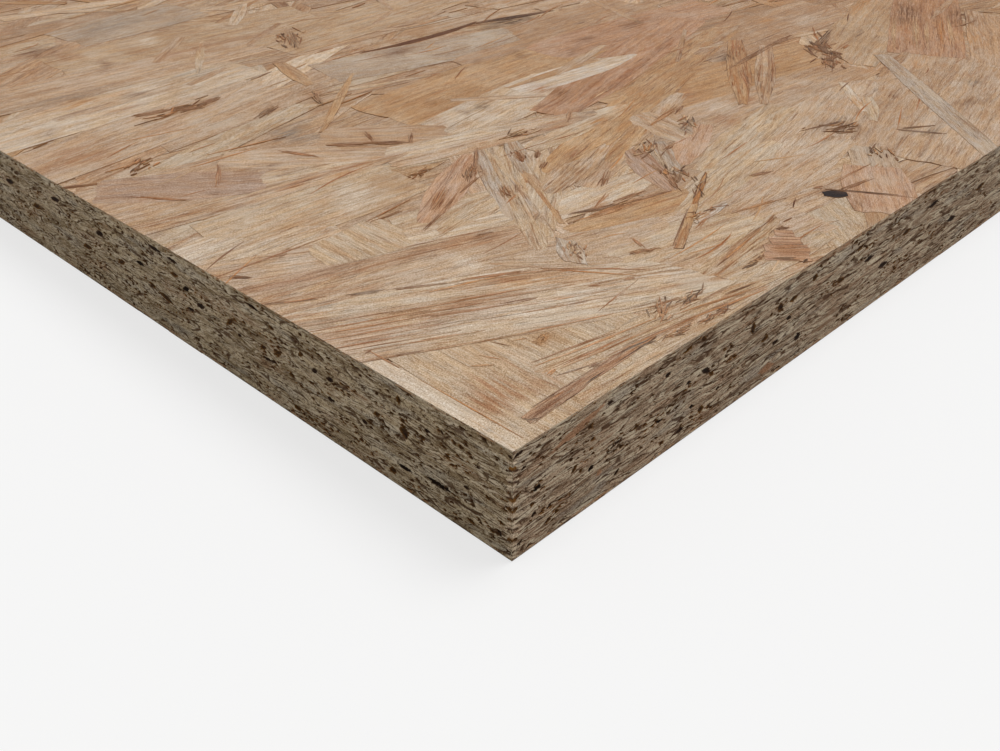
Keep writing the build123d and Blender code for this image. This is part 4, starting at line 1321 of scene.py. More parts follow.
@dataclass
class Corner:
    """The strands beside the near corner, laid one by one as they are seen there."""

    origin: Vector
    top: float
    seed: int = 11
    strands: tuple[Laid, ...] = LAID_BY_HAND
    tatters: tuple[Tatter, ...] = TATTERS
    blots: tuple[Blot, ...] = BLOTS
    small: Litter = Litter(90, 26, (14, 40), (1.6, 5.5), 210, True)
    thin: Litter = Litter(240, 12, (4, 22), (0.3, 0.7), 62, False)
    littered: Pair = (-4, 330)
    litter_lie: float = 8
    loose_tones: tuple[tuple[Tone, float], ...] = (
        (OCHRE, 0.26), (RUSSET, 0.24), (HONEY, 0.12), (UMBER, 0.10), (CREAM, 0.18), (ASH, 0.10),
    )
    fibre_width: float = 0.42
    most_fibres: int = 6
    least_fleck: float = 0.24
    first_depth: float = 0.20 * MM
    worn: Colour = (1.10, 0.97, 0.80, 1.0)
    pale_reach: Pair = (195.0, 310.0)
    depth: Colour = (0.13, 0.20, 0.26, 0.0)

    def fibres(self, laid: Laid, rng: np.random.Generator) -> list[Laid]:
        """Splits a splinter into the loose fibres that it is made of.

        Args:
            laid: A strand or splinter.
            rng: Chance.

        Returns:
            The strand itself, or a splinter's fibres.
        """
        start, end = np.array(laid.start), np.array(laid.end)
        way = end - start
        run = np.hypot(*way)
        count = min(self.most_fibres, round(laid.width / self.fibre_width))
        if laid.border >= 0 or count < 2 or run < 3.4 * laid.width:
            return [laid]
        aside = np.array([-way[1], way[0]]) / run
        made = []
        for share in (np.arange(count) + 0.5) / count - 0.5:
            room = 1 - 2.4 * share**2
            slip = rng.uniform(-0.22, 0.22)
            middle = (start + end) / 2 + way * slip * 0.5 + aside * share * laid.width
            half = way * room * rng.uniform(0.30, 0.5) + aside * rng.normal(0.0, 0.12)
            width = laid.width / count * rng.uniform(0.7, 1.3)
            made.append(replace(laid, start=tuple(middle - half), end=tuple(middle + half), width=width))
        return made

    def loose(self, rng: np.random.Generator, litter: Litter) -> list[Laid]:
        """Spreads small strands or thin splinters by rule, where few are listed.

        Args:
            rng: Chance.
            litter: What is spread.

        Returns:
            The strands.
        """
        pick = rng.choice(len(self.loose_tones), litter.rows, p=[odd for _, odd in self.loose_tones])
        made = []
        while len(made) < litter.rows:
            spot = rng.uniform(*self.littered, 2)
            lie = math.radians(rng.normal(self.litter_lie, litter.turn))
            run, width = rng.uniform(*litter.run), rng.uniform(*litter.width)
            if spot.sum() < litter.clear:
                continue
            half = np.array([math.cos(lie), math.sin(lie)]) * run / 2
            ends = tuple(spot - half), tuple(spot + half)
            if litter.broad:
                plain = PLAIN_TONES[len(made) % len(PLAIN_TONES)][0]
                taper = tuple(rng.uniform(0.2, 0.8, 2))
                figure = tuple(rng.uniform(0.1, 0.7, 3))
                made.append(Laid(*ends, width, plain, *figure, taper, rng.uniform(0.1, 0.7)))
            else:
                tone = self.loose_tones[pick[len(made)]][0]
                made.append(replace(sliver(*ends, width, tone), bend=rng.normal(0.0, 0.05)))
        return made

    def flecks(self, rng: np.random.Generator) -> list[Laid]:
        """Tears the face into short flecks where it is tattered.

        Args:
            rng: Chance.

        Returns:
            The flecks.
        """
        made = []
        for tatter in self.tatters:
            lie = math.radians(tatter.lie)
            turn = np.array([[math.cos(lie), math.sin(lie)], [-math.sin(lie), math.cos(lie)]])
            for _ in range(tatter.flecks):
                spot = np.array(tatter.spot) + (rng.normal(0.0, 0.5, 2) * tatter.reach) @ turn
                stray = lie + math.radians(rng.normal(0.0, 17))
                run = tatter.reach[0] * rng.uniform(0.2, 0.9)
                half = np.array([math.cos(stray), math.sin(stray)]) * run / 2
                width = max(self.least_fleck, tatter.reach[1] * rng.uniform(0.08, 0.26))
                dark = rng.choice([BARK, UMBER, RUSSET], p=[0.3, 0.4, 0.3])
                tone = dark if rng.random() < tatter.dark else rng.choice([CREAM, OCHRE])
                made.append(sliver(tuple(spot - half), tuple(spot + half), width, tone))
        return made

    def batch(self) -> Strands:
        """Turns the list into a batch of strands.

        Returns:
            The batch, from the lowest to the highest.
        """
        rng = np.random.default_rng(self.seed)
        first = next(i for i, strand in enumerate(self.strands) if strand.border < 0)
        whole = [*self.strands[:first], *self.loose(rng, self.small), *self.loose(rng, self.thin)]
        whole += [*self.strands[first:], *self.flecks(rng)]
        laid = [part for strand in whole for part in self.fibres(strand, rng)]
        rows = len(laid)
        start = np.array([s.start for s in laid]) * MM
        end = np.array([s.end for s in laid]) * MM
        width = np.array([s.width for s in laid]) * MM
        way = end - start
        middle = (start + end) / 2 + np.array(self.origin[:2])
        level = self.top - self.first_depth * (1 - (np.arange(rows) + 1) / rows)
        centre = np.column_stack([middle, level])
        border = np.array([s.border for s in laid])
        worn = rng.uniform(0.70, 1.10, (rows, 1)) * self.worn
        tint = np.array([s.tone.value for s in laid]) * np.where(border[:, None] < 0, worn, 1.0)
        return Strands(
            centre=centre,
            lie=np.arctan2(way[:, 1], way[:, 0]),
            size=np.stack([np.hypot(*way.T), width, np.full(rows, THICKNESS)], 1),
            shape=np.array([(*s.taper, s.skew) for s in laid]),
            bend=np.array([s.bend for s in laid]),
            seed=rng.uniform(0, 400, rows),
            tint=self.deepen(tint, centre),
            figure=np.array([(s.streaks, s.pale, s.stain) for s in laid]),
            border=border,
        )

    def deepen(self, tint: np.ndarray, centre: np.ndarray) -> np.ndarray:
        """Makes strands a little darker and warmer the farther their centres lie past the corner.

        Args:
            tint: Their colours.
            centre: Their centres.

        Returns:
            Their new colours.
        """
        away = (centre[:, :2] - np.array(self.origin[:2])).sum(1) / MM
        share = np.clip((away - self.pale_reach[0]) / (self.pale_reach[1] - self.pale_reach[0]), 0, 1)
        return tint * (1 - share[:, None] * self.depth)

    def shadows(self) -> list[Blot]:
        """Works out the soft stains around the dark splinters.

        Returns:
            One stain for each.
        """
        made = []
        for laid in self.strands:
            if laid.border == SMUDGED:
                (b0, a0), (b1, a1) = laid.start, laid.end
                reach = math.hypot(b1 - b0, a1 - a0) * 0.5 + 0.5, laid.width + 0.9
                turn = math.degrees(math.atan2(a1 - a0, b1 - b0))
                made.append(Blot(((b0 + b1) / 2, (a0 + a1) / 2), reach, turn, RUSSET, 0.3))
        return made

    def stain(self, mesh: Mesh) -> None:
        """Writes the soft stains and the painted shade round a hole to a mesh, as a colour and a
        strength at each vertex.

        Args:
            mesh: A pressed mesh in the sheet's own frame.
        """
        spots = np.empty(len(mesh.vertices) * 3, dtype=np.float32)
        mesh.vertices.foreach_get("co", spots)
        spots = (spots.reshape(-1, 3)[:, :2] - np.array(self.origin[:2])) / MM
        colour = np.zeros((len(spots), 3))
        strength = np.zeros(len(spots))
        for blot in (*self.blots, *self.shadows()):
            along, across = oval(spots - blot.spot, blot.turn, blot.reach)
            share = blot.strength * np.exp(-1.2 * (along**2 + across**2) ** 1.3)
            total = strength + share - strength * share
            part = np.divide(share, total, out=np.zeros_like(share), where=total > 1e-6)[:, None]
            colour = colour * (1 - part) + part * np.array(blot.tone.value[:3])
            strength = total
        write(mesh, "blot", "FLOAT_COLOR", np.column_stack([colour, strength]))


@dataclass
class Spread:
    """Strands spread by rule over a face, or over a part of it."""

    low: Pair
    high: Pair
    top: float
    depth: float
    coverage: float
    seed: int
    shade: Pair = (0.90, 1.10)
    tones: tuple[tuple[Tone, float], ...] = (
        (CREAM, 0.16), (STRAW, 0.22), (SAND, 0.22), (TAN, 0.18), (HONEY, 0.08), (ROSE, 0.07),
        (SLATE, 0.04), (RUSSET, 0.03),
    )
    length: Pair = (45 * MM, 108 * MM)
    width: Pair = (5 * MM, 24 * MM)
    slivers: float = 0.25
    sliver_width: Pair = (0.9 * MM, 3.5 * MM)
    dark_slivers: float = 0.35
    turn: float = math.radians(17)
    strays: float = 0.24
    stray_turn: float = math.radians(80)
    steps: Pair = (0.7548776662, 0.5698402910)  # even cover, without rows

    def batch(self) -> Strands:
        """Spreads the strands evenly, from the lowest to the highest.

        Returns:
            The batch.
        """
        rng = np.random.default_rng(self.seed)
        span = np.array(self.high) - np.array(self.low)
        mean = np.mean(self.length) * np.mean(self.width) * (1 - 0.85 * self.slivers)
        rows = int(self.coverage * span[0] * span[1] / mean)
        index = np.arange(rows)
        share = (0.5 + (index[:, None] + 1) * np.array(self.steps)) % 1.0
        level = self.top - self.depth * (1 - (index + 1) / rows)
        sliver = rng.random(rows) < self.slivers
        length = rng.triangular(self.length[0], np.mean(self.length), self.length[1], rows)
        width = rng.triangular(self.width[0], self.width[0] * 1.8, self.width[1], rows)
        length = np.where(sliver, length * 0.6, length)
        width = np.where(sliver, rng.uniform(*self.sliver_width, rows), width)
        straight = rng.normal(0.0, self.turn, rows)
        stray = rng.uniform(-self.stray_turn, self.stray_turn, rows)
        lie = np.where(rng.random(rows) < self.strays, stray, straight)
        odds = np.array([odd for _, odd in self.tones])
        which = rng.choice(len(odds), rows, p=odds / odds.sum())
        tint = np.array([tone.value for tone, _ in self.tones])[which]
        tint[:, :3] *= rng.uniform(*self.shade, (rows, 1))
        tint[sliver & (rng.random(rows) < self.dark_slivers)] = np.array(UMBER.value)
        taper = rng.random((rows, 2)) ** 3
        taper[sliver] = 0.5 + 0.5 * rng.random((sliver.sum(), 2))
        return Strands(
            centre=np.column_stack([np.array(self.low) + share * span, level]),
            lie=lie,
            size=np.stack([length, width, np.full(rows, THICKNESS)], 1),
            shape=np.column_stack([taper, rng.uniform(-1.2, 1.2, rows)]),
            bend=rng.normal(0.0, 0.03, rows),
            seed=rng.uniform(0, 900, rows),
            tint=tint,
            figure=np.column_stack([rng.random(rows) ** 2 for _ in range(3)]),
            border=rng.random(rows) ** 2,
        )


def grid_mesh(name: str, columns: np.ndarray, rows: np.ndarray) -> tuple[Mesh, np.ndarray]:
    """Makes a flat grid of quads.

    Args:
        name: The mesh's name.
        columns: Distances of its columns.
        rows: Distances of its rows.

    Returns:
        The mesh, and each vertex's column and row distance.
    """
    wide, high = len(columns), len(rows)
    spots = np.stack(np.meshgrid(columns, rows, indexing="xy"), -1).reshape(-1, 2)
    corner = (np.arange(high - 1)[:, None] * wide + np.arange(wide - 1)[None, :]).ravel()
    quads = np.stack([corner, corner + 1, corner + wide + 1, corner + wide], 1)
    mesh = bpy.data.meshes.new(name)
    mesh.vertices.add(len(spots))
    mesh.loops.add(quads.size)
    mesh.polygons.add(len(quads))
    mesh.loops.foreach_set("vertex_index", quads.ravel().astype(np.int32))
    mesh.polygons.foreach_set("loop_start", np.arange(0, quads.size, 4, dtype=np.int32))
    mesh.update(calc_edges=True)
    return mesh, spots


@dataclass(frozen=True)
class Face:
    """One pressed face: its tiles along and across, and how its strands are spread.

    The lower face is laid as an upper one and turned over about the sheet's long middle line.
    """

    name: str
    tiles: tuple[int, int]
    seed: int
    coverage: float
    upper: bool


@dataclass
class Sheet:
    """The whole sheet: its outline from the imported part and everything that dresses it."""

    low: Vector
    high: Vector
    faces: tuple[Face, ...] = (
        Face("upper_face", (4, 2), 5, 2.0, True),
        Face("lower_face", (3, 2), 23, 1.35, False),
    )
    depth: float = 0.20 * MM
    ground: tuple = (0.16 * MM, 2.2, 8, (0.88, 1.08), PLAIN_TONES)  # a Spread's depth to tones
    ground_drop: float = 0.21 * MM
    bed: float = 0.42 * MM
    bed_play: float = 0.01 * MM
    bed_overlap: float = 12 * MM
    near_reach: float = 430 * MM
    overhang: float = 35 * MM
    broad: float = 4.4 * MM
    thin: float = 0.62 * MM
    cut_play: float = 0.05 * MM
    wall_width: float = 0.25 * MM

    def __post_init__(self) -> None:
        """Makes the strands' material and presses, each with its vertices along and across."""
        self.corner = Corner(self.low, self.high.z)
        self.wood = StrandFinish().material()
        grids = {"dense": (29, 8), "fine": (12, 3), "medium": (9, 3), "thread": (7, 2), "plain": (4, 2)}
        self.presses = {
            name: StrandPress(f"press_{name}", *grid, self.wood) for name, grid in grids.items()
        }

    def build(self) -> list[Object]:
        """Builds every piece of the sheet."""
        tiles = [tile for face in self.faces for tile in self.tiles(face)]
        return [self.corner_piece(), *tiles, *SawnEdges(self.low, self.high).build()]

    def corner_piece(self) -> Object:
        """Builds the listed strands beside the near corner.

        Returns:
            The piece.
        """
        batch = self.corner.batch()
        broad, thin = batch.size[:, 1] > self.broad, batch.size[:, 1] < self.thin
        meshes = [
            self.presses["dense"].press(batch.pick(broad), "corner_broad"),
            self.presses["fine"].press(batch.pick(~broad & ~thin), "corner_narrow"),
            self.presses["thread"].press(batch.pick(thin), "corner_thin"),
        ]
        return self.join("corner_strands", meshes)

    def tiles(self, face: Face) -> list[Object]:
        """Builds the tiles of one pressed face.

        Args:
            face: The face.

        Returns:
            The tiles.
        """
        low, high = np.array(self.low[:2]), np.array(self.high[:2])
        area = tuple(low - self.overhang), tuple(high + self.overhang)
        strands = self.spread(Spread(*area, self.high.z, self.depth, face.coverage, face.seed))
        if face.upper:
            strands = strands.pick(~(strands.centre[:, :2] < low + self.near_reach).all(1))
        plain, made = self.presses["plain"], []
        for place in map(np.array, np.ndindex(face.tiles)):
            first = low + (high - low) * (place / face.tiles)
            last = low + (high - low) * ((place + 1) / face.tiles)
            label = f"{face.name}_{place[0] + 1}_{place[1] + 1}"
            meshes = [plain.press(self.bed_under(first, last, place.sum()), label)]
            first, last = first - (place == 0), last + (place + 1 == face.tiles)
            inside = (strands.centre[:, :2] >= first) & (strands.centre[:, :2] < last)
            meshes.append(plain.press(strands.pick(inside.all(1)), label))
            if face.upper and not place.any():
                meshes.append(self.presses["medium"].press(self.near_ground(), label))
            made.append(self.join(label, meshes, face.upper))
        return made

    def spread(self, spread: Spread) -> Strands:
        """Spreads strands by rule, with the colours that belong to their place."""
        strands = spread.batch()
        return replace(strands, tint=self.corner.deepen(strands.tint, strands.centre))

    def near_ground(self) -> Strands:
        """Spreads the strands that show between the listed ones."""
        area = [tuple(np.array(self.low[:2]) + reach) for reach in (-self.overhang, self.near_reach)]
        return self.spread(Spread(*area, self.high.z - self.ground_drop, *self.ground))

    def bed_under(self, first: np.ndarray, last: np.ndarray, number: int) -> Strands:
        """Makes the plain ground that shows between a tile's strands.

        Args:
            first: The tile's low corner.
            last: Its high corner.
            number: The tile's number, which keeps it just clear of its neighbours' beds.

        Returns:
            A batch of one.
        """
        size = last - first + self.bed_overlap
        level = self.high.z - self.bed - self.bed_play * (number % 2)
        return Strands(
            centre=np.array([[*(first + last) / 2, level]]),
            lie=np.zeros(1),
            size=np.array([[*size, 0.2 * MM]]),
            shape=np.zeros((1, 3)),
            bend=np.zeros(1),
            seed=np.array([50.0 + number]),
            tint=np.array([TAN.value]),
            figure=np.array([[0.6, 0.4, 0.7]]),
            border=np.zeros(1),
        )

    def join(self, name: str, meshes: Sequence[Mesh], upper: bool = True) -> Object:
        """Stains strands, joins them to one piece and saws them off at the sheet's outline.

        Args:
            name: The piece's name.
            meshes: Its strands.
            upper: Whether the piece is on the upper face.

        Returns:
            The piece.
        """
        shape = bmesh.new()
        for mesh in meshes:
            self.corner.stain(mesh)
            shape.from_mesh(mesh)
            bpy.data.meshes.remove(mesh)
        for axis in (0, 1):
            for side in (-1, 1):
                self.saw(shape, axis, side)
        self.unfold(shape)
        if not upper:
            for vert in shape.verts:
                vert.co.y = self.low.y + self.high.y - vert.co.y
                vert.co.z = self.low.z + self.high.z - vert.co.z
        joined = bpy.data.meshes.new(name)
        shape.to_mesh(joined)
        shape.free()
        joined.materials.clear()
        joined.materials.append(self.wood)
        return put(name, joined)

    def unfold(self, shape: bmesh.types.BMesh) -> None:
        """Sorts a piece's faces from the lowest strand to the highest and maps them from above.

        The highest strand is then the last that is drawn at each point of the map. A strand's
        side walls get a narrow band beside its outline.

        Args:
            shape: The strands.
        """
        fibre = shape.verts.layers.float_vector["fibre"]
        rim = shape.verts.layers.float_vector["rim"]
        tops: dict[float, float] = {}
        for vert in shape.verts:
            seed = vert[fibre].z
            tops[seed] = max(tops.get(seed, 0.0), vert.co.z)
        shape.normal_update()
        shape.faces.sort(key=lambda face: tops[face.verts[0][fibre].z] * 1e9 + face.normal.z)
        spots = np.array([vert.co[:2] for vert in shape.verts])
        low = spots.min(0) - 2 * self.wall_width
        span = spots.max(0) + 2 * self.wall_width - low
        layer = shape.loops.layers.uv.new(BAKE_MAP)
        for face in shape.faces:
            normal = face.normal
            step = self.wall_width if abs(normal.z) < 0.5 else 0.0
            for loop in face.loops:
                away = step * (loop.vert[rim].z > 0.5)
                spot = loop.vert.co
                loop[layer].uv = (
                    (spot.x + normal.x * away - low[0]) / span[0],
                    (spot.y + normal.y * away - low[1]) / span[1],
                )

    def saw(self, shape: bmesh.types.BMesh, axis: int, side: int) -> None:
        """Cuts off what lies past one edge of the sheet and closes the cut.

        Args:
            shape: The strands.
            axis: 0 for the short edges and 1 for the long ones.
            side: -1 for the low side and 1 for the high one.
        """
        edge = (self.low if side < 0 else self.high)[axis]
        if not any((v.co[axis] - edge) * side > 0 for v in shape.verts):
            return
        normal, spot = Vector((0, 0, 0)), Vector((0, 0, 0))
        normal[axis], spot[axis] = side, edge
        whole = shape.verts[:] + shape.edges[:] + shape.faces[:]
        plane = {"plane_co": spot, "plane_no": normal, "clear_outer": True}
        cut = bmesh.ops.bisect_plane(shape, geom=whole, **plane)["geom_cut"]
        rims = [part for part in cut if isinstance(part, bmesh.types.BMEdge)]
        bmesh.ops.holes_fill(shape, edges=rims, sides=0)
        fibre = shape.verts.layers.float_vector["fibre"]
        for part in cut:
            if isinstance(part, bmesh.types.BMVert):
                part.co[axis] -= side * (self.cut_play + self.cut_play * (part[fibre].z * 7.77 % 1.0))


@dataclass(frozen=True)
class Grid:
    """How fine a strip is: its first column's width, how fast columns widen, and its rows."""

    first: float
    growth: float
    row: float


@dataclass(frozen=True)
class EdgeRun:
    """One sawn edge, from one of its ends to the other."""

    name: str
    start: Vector
    along: Vector
    inward: Vector
    length: float
    segments: int
    number: float
    grid: Grid
    finish: SawnFinish
    marks: tuple[Mark, ...] = ()


@dataclass
class SawnEdges:
    """The relief strips of the four sawn edges, each a thin closed plate under the face strands."""

    low: Vector
    high: Vector
    lip: float = 0.16 * MM
    lip_fall: float = 1.2 * MM
    play: float = 0.02 * MM
    still: float = 0.75 * MM
    plate: float = 2.0 * MM
    mark_stray: float = 0.07
    mark_spread: float = 1.1
    near_grid: Grid = Grid(0.20 * MM, 0.0040, 0.24 * MM)
    far_grid: Grid = Grid(1.8 * MM, 0.0, 0.9 * MM)
    long_finish: SawnFinish = SawnFinish()
    end_finish: SawnFinish = SawnFinish(
        strand=(8 * MM, 1.0 * MM),
        line=(3.2 * MM, 0.34 * MM),
        fray=(0.9 * MM, 0.22 * MM),
        light=linear(172, 152, 122),
        dark=linear(134, 114, 86),
    )

    def runs(self) -> tuple[EdgeRun, ...]:
        """Lists the four edges.

        Returns:
            The front and left edges, which meet at the near corner, and the two behind.
        """
        low, high = self.low, self.high
        near, far = Vector((low.x, low.y, 0)), Vector((high.x, high.y, 0))
        x, y = Vector((1, 0, 0)), Vector((0, 1, 0))
        wide, deep = high.x - low.x, high.y - low.y
        fine, coarse, sides, ends = self.near_grid, self.far_grid, self.long_finish, self.end_finish
        return (
            EdgeRun("front_edge", near, x, y, wide, 3, 0.8, fine, sides, FRONT_MARKS),
            EdgeRun("left_edge", near, y, x, deep, 2, 5.3, fine, ends, LEFT_MARKS),
            EdgeRun("back_edge", far, -x, -y, wide, 3, 9.1, coarse, sides),
            EdgeRun("right_edge", far, -y, -x, deep, 2, 14.6, coarse, ends),
        )

    def build(self) -> list[Object]:
        """Builds the strips.

        Returns:
            The pieces, a few to each edge.
        """
        finishes = {finish: finish.material() for finish in (self.long_finish, self.end_finish)}
        made = []
        for run in self.runs():
            columns = self.columns(run)
            tree, inward = self.relief_tree(run.finish)
            bounds = np.linspace(columns[0], columns[-1], run.segments + 1)
            for index in range(run.segments):
                first, last = np.searchsorted(columns, bounds[index : index + 2])
                strip = self.strip(f"{run.name}_{index + 1}", run, columns[first : last + 1])
                self.carve(strip, tree, {inward: tuple(run.inward)})
                self.close(strip, run, finishes[run.finish])
                made.append(strip)
        return made

    def columns(self, run: EdgeRun) -> np.ndarray:
        """Works out where a strip's columns stand, close together at the run's start.

        Args:
            run: The edge.

        Returns:
            Distances along it.
        """
        spots = [self.play]
        while spots[-1] < run.length - self.play:
            step = run.grid.first + spots[-1] * run.grid.growth
            spots.append(min(run.length - self.play, spots[-1] + step))
        return np.array(spots)

    def strip(self, name: str, run: EdgeRun, columns: np.ndarray) -> Object:
        """Makes one flat strip with its marks.

        Args:
            name: The piece's name.
            run: The edge.
            columns: Its columns.

        Returns:
            The strip, facing outwards.
        """
        low, high = self.low.z + self.lip, self.high.z - self.lip
        rows = np.linspace(low, high, int((high - low) / run.grid.row) + 1)
        mesh, spots = grid_mesh(name, columns, rows)
        place = np.array(run.start) + spots[:, :1] * np.array(run.along)
        place[:, 2] = spots[:, 1]
        mesh.vertices.foreach_set("co", place.astype(np.float32).ravel())
        ends = np.minimum(spots[:, 0] - self.play, run.length - self.play - spots[:, 0])
        border = np.minimum(ends, np.minimum(spots[:, 1] - low, high - spots[:, 1]))
        hold = np.clip(border / self.still, 0, 1)
        colour, sunk = self.marked(run, spots)
        write(mesh, "section", "FLOAT_VECTOR", np.column_stack([spots, np.full(len(spots), run.number)]))
        write(mesh, "hold", "FLOAT", hold * hold * (3 - 2 * hold))
        write(mesh, "sunk", "FLOAT", sunk)
        write(mesh, "mark", "FLOAT_COLOR", colour)
        if run.along.cross(Vector((0, 0, 1))).dot(run.inward) > 0:
            mesh.flip_normals()
        return put(name, mesh)

    def marked(self, run: EdgeRun, spots: np.ndarray) -> tuple[np.ndarray, np.ndarray]:
        """Reads the listed marks at each vertex.

        Args:
            run: The edge.
            spots: Distance along and height of each vertex.

        Returns:
            Colour with strength, and the extra depth in metres.
        """
        colour = np.zeros((len(spots), 4))
        sunk = np.zeros(len(spots))
        rng = np.random.default_rng(int(run.number * 10))
        place = np.column_stack([spots[:, 0], self.high.z - spots[:, 1]]) / MM
        place += rng.normal(0.0, self.mark_stray, place.shape)
        core_shade_tone = np.array(PITCH.value[:3]) * 0.6
        for mark in run.marks:
            along, across = oval((place - mark.spot) / self.mark_spread, -mark.turn, mark.reach)
            room = np.clip(1 - along**2, 0.04, 1)
            away = (across / room) ** 2 + along**2
            # Painted shade: the near-black core in the middle of gaps and pits
            share, core = np.exp(-0.9 * away), np.exp(-2.2 * away**2) * mark.core
            for part, tone in ((share * mark.strength, np.array(mark.tone.value[:3])), (core, core_shade_tone)):
                colour[:, :3] = colour[:, :3] * (1 - part[:, None]) + tone * part[:, None]
                colour[:, 3] += (1 - colour[:, 3]) * part
            sunk = np.maximum(sunk, share * mark.sunk * MM)
        colour[:, :3] /= np.maximum(colour[:, 3:], 1e-3)
        return colour, sunk

    def carve(self, strip: Object, tree: NodeTree, values: dict[str, object]) -> None:
        """Sinks a strip's relief into it and leaves no modifier.

        Args:
            strip: The strip.
            tree: The relief tree.
            values: The tree's inputs, by identifier.
        """
        carved, flat = settle(strip, tree, values), strip.data
        strip.modifiers.clear()
        strip.data = carved
        bpy.data.meshes.remove(flat)
        carved.name = strip.name

    def relief_tree(self, finish: SawnFinish) -> tuple[NodeTree, str]:
        """Builds the tree that sinks an edge's gaps and layers into it.

        Args:
            finish: The edge's finish, whose marks the relief follows.

        Returns:
            The tree, and the identifier of its inward direction.
        """
        tree = bpy.data.node_groups.new("sawn_relief", "GeometryNodeTree")
        tree.interface.new_socket("Strip", in_out="INPUT", socket_type="NodeSocketGeometry")
        tree.interface.new_socket("Carved", in_out="OUTPUT", socket_type="NodeSocketGeometry")
        inward = tree.interface.new_socket("Inward", in_out="INPUT", socket_type="NodeSocketVector")
        w = Wiring(tree)
        start = w.start()
        cut = finish.section(w, w.named("section", "FLOAT_VECTOR"))
        depth = w.math("MAXIMUM", cut.depth, w.named("sunk")) * w.named("hold")
        inputs = {0: start["Inward"], "Scale": depth + self.play}
        offset = w.add("ShaderNodeVectorMath", inputs, operation="SCALE")
        moved = w.add("GeometryNodeSetPosition", {"Geometry": start["Strip"], "Offset": offset})
        w.feed(w.node("NodeGroupOutput").inputs[0], moved)
        return tree, inward.identifier

    def close(self, strip: Object, run: EdgeRun, finish: Material) -> None:
        """Gives a strip its back, its texture map and its material.

        Args:
            strip: The carved strip.
            run: The edge.
            finish: The material.
        """
        shape = bmesh.new()
        shape.from_mesh(strip.data)
        front = set(shape.faces)
        rims = [e for e in shape.edges if e.is_boundary]
        grown = bmesh.ops.extrude_edge_only(shape, edges=rims)["geom"]
        for part in grown:
            if isinstance(part, bmesh.types.BMVert):
                reach = (part.co - run.start).dot(run.along)
                kept = min(max(reach, self.plate), run.length - self.plate)
                deep = (part.co - run.start).dot(run.inward)
                part.co += run.along * (kept - reach) + run.inward * (self.plate - deep)
                part.co.z = min(max(part.co.z, self.low.z + self.lip_fall), self.high.z - self.lip_fall)
        back = [e for e in grown if isinstance(e, bmesh.types.BMEdge) and e.is_boundary]
        bmesh.ops.holes_fill(shape, edges=back, sides=0)
        self.unfold(shape, front, run)
        bmesh.ops.recalc_face_normals(shape, faces=shape.faces[:])
        shape.to_mesh(strip.data)
        shape.free()
        strip.data.materials.clear()
        strip.data.materials.append(finish)

    def unfold(self, shape: bmesh.types.BMesh, front: set[bmesh.types.BMFace], run: EdgeRun) -> None:
        """Lays a strip's texture map out as rows, one above the other.

        Args:
            shape: The closed strip.
            front: Its visible faces. The others share a band at the map's top.
            run: The edge.
        """
        layer = shape.loops.layers.uv.new(BAKE_MAP)
        reaches = [(v.co - run.start).dot(run.along) for v in shape.verts]
        first, span = min(reaches), max(reaches) - min(reaches)
        high = self.high.z - self.low.z
        rows = max(1, round(math.sqrt(span / high)))
        wide = span / rows
        for face in shape.faces:
            spots = [(v.co - run.start).dot(run.along) - first for v in face.verts]
            row = min(rows - 1, int(sum(spots) / len(spots) / wide))
            for loop, spot in zip(face.loops, spots):
                if face in front:
                    u = 0.02 + 0.96 * (spot - row * wide) / wide
                    v = 0.96 * (row + 0.03 + 0.94 * (loop.vert.co.z - self.low.z) / high) / rows
                else:
                    u, v = spot / span, 0.97 + 0.03 * loop.vert.co.z / high
                loop[layer].uv = (u, v)


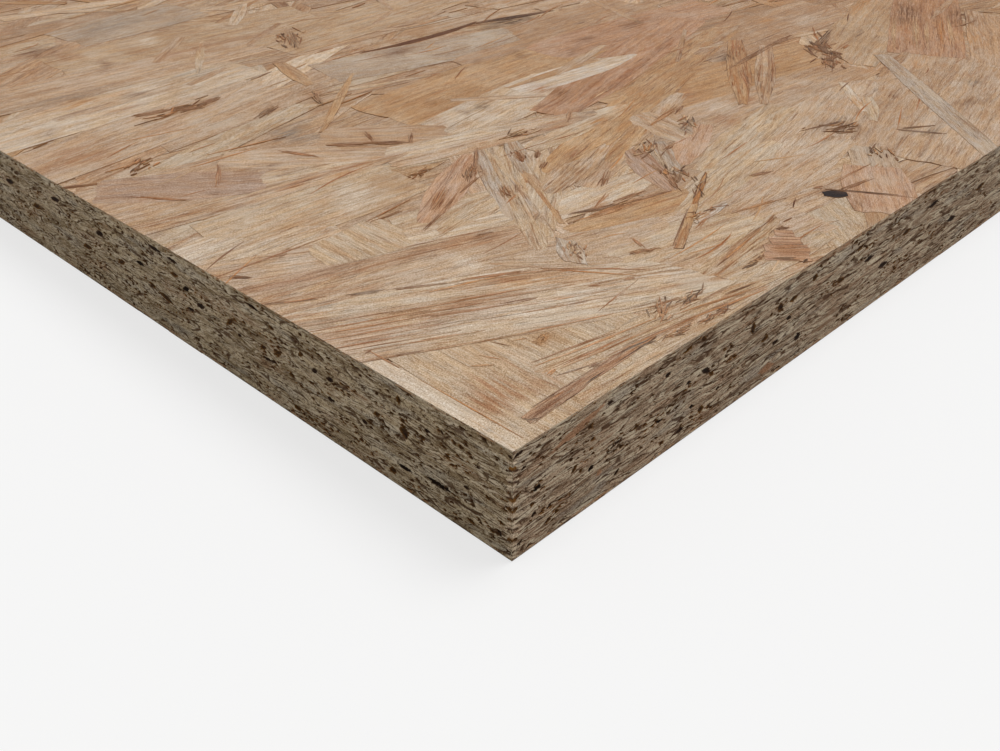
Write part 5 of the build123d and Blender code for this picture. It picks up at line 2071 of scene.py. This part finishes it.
@dataclass(frozen=True)
class Studio:
    """Camera, floor and soft light."""

    eye: tuple[float, float, float] = (-1.34000, -0.71029, 0.11634)
    heading: Pair = (0.7152, 0.6988)
    pitch: float = math.radians(33.174)
    lens: float = 38.12
    sensor: float = 36.0
    clip: Pair = (0.01, 100.0)
    lamp_way: tuple[float, float, float] = (-0.5, 0.12, -1.0)
    lamp_strength: float = 1.55
    lamp_width: float = math.radians(35)
    sky_colour: Colour = (1.0, 0.99, 0.97, 1)
    sky_strength: float = 0.50
    floor_colour: Colour = (0.8, 0.8, 0.8, 1)
    floor_white: float = 0.7
    floor_size: float = 60.0
    floor_drop: float = -0.05 * MM

    def build(self) -> None:
        """Builds the camera, the lamp, the world and the floor."""
        scene = bpy.context.scene
        scene.view_settings.view_transform = "Standard"
        data = bpy.data.cameras.new("camera")
        data.lens, data.sensor_width = self.lens, self.sensor
        data.clip_start, data.clip_end = self.clip
        scene.camera = put("camera", data)
        scene.camera.location = self.eye
        level = math.cos(self.pitch)
        way = self.heading[0] * level, self.heading[1] * level, -math.sin(self.pitch)
        self.aim(scene.camera, way)
        self.lamp()
        self.sky()
        self.floor()

    @staticmethod
    def aim(thing: Object, way: tuple[float, float, float]) -> None:
        """Turns a camera or lamp to look along a direction."""
        thing.rotation_mode = "QUATERNION"
        thing.rotation_quaternion = Vector(way).to_track_quat("-Z", "Y")

    def lamp(self) -> None:
        """Adds one wide soft lamp, high and behind the sheet's near corner."""
        data = bpy.data.lights.new("softbox", "SUN")
        data.energy, data.angle = self.lamp_strength, self.lamp_width
        self.aim(put("softbox", data), self.lamp_way)

    def sky(self) -> None:
        """Sets an even pale world that the camera sees as white."""
        world = bpy.data.worlds.new("sky")
        bpy.context.scene.world = world
        w = Wiring.of(world)
        inputs = {"Color": self.sky_colour, "Strength": self.sky_strength}
        light = w.add("ShaderNodeBackground", inputs)
        seen = w.add("ShaderNodeBackground", {"Color": (1, 1, 1, 1)})
        self.show(w, self.ray(w), light, seen, "ShaderNodeOutputWorld")

    @staticmethod
    def ray(w: Wiring) -> Signal:
        """Tells whether the camera looks straight at a point."""
        return w.add("ShaderNodeLightPath", {}, "Is Camera Ray")

    @staticmethod
    def show(w: Wiring, share: Signal, lit: Signal, seen: Signal, kind: str) -> None:
        """Ends a tree with a shader for the light and, by a share, one that the camera sees."""
        mixed = w.add("ShaderNodeMixShader", {0: share, 1: lit, 2: seen})
        w.feed(w.node(kind).inputs[0], mixed)

    def floor(self) -> None:
        """Adds a plain white floor that keeps a light shadow."""
        mesh = bpy.data.meshes.new("floor")
        half, drop = self.floor_size / 2, self.floor_drop
        corners = (-half, -half, drop), (half, -half, drop), (half, half, drop), (-half, half, drop)
        mesh.from_pydata(corners, [], [(0, 1, 2, 3)])
        made = bpy.data.materials.new("white_floor")
        w = Wiring.of(made)
        matt = w.add("ShaderNodeBsdfDiffuse", {"Color": self.floor_colour})
        white = w.add("ShaderNodeEmission", {})
        self.show(w, self.ray(w) * self.floor_white, matt, white, "ShaderNodeOutputMaterial")
        mesh.materials.append(made)
        thing = put("floor", mesh)


def triangles(thing: Object) -> int:
    """Counts a piece's triangles."""
    return sum(p.loop_total - 2 for p in thing.data.polygons)


def main() -> None:
    """Builds the sheet and the studio, and reports each piece."""
    Studio().build()
    low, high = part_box(NODE)
    total = 0
    for piece in Sheet(low, high).build():
        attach(piece, BODY)
        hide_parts(NODE)
        count = triangles(piece)
        total += count
        log.info("%s: %d triangles", piece.name, count)
    log.info("all pieces: %d triangles", total)


if __name__ == "__main__":
    main()
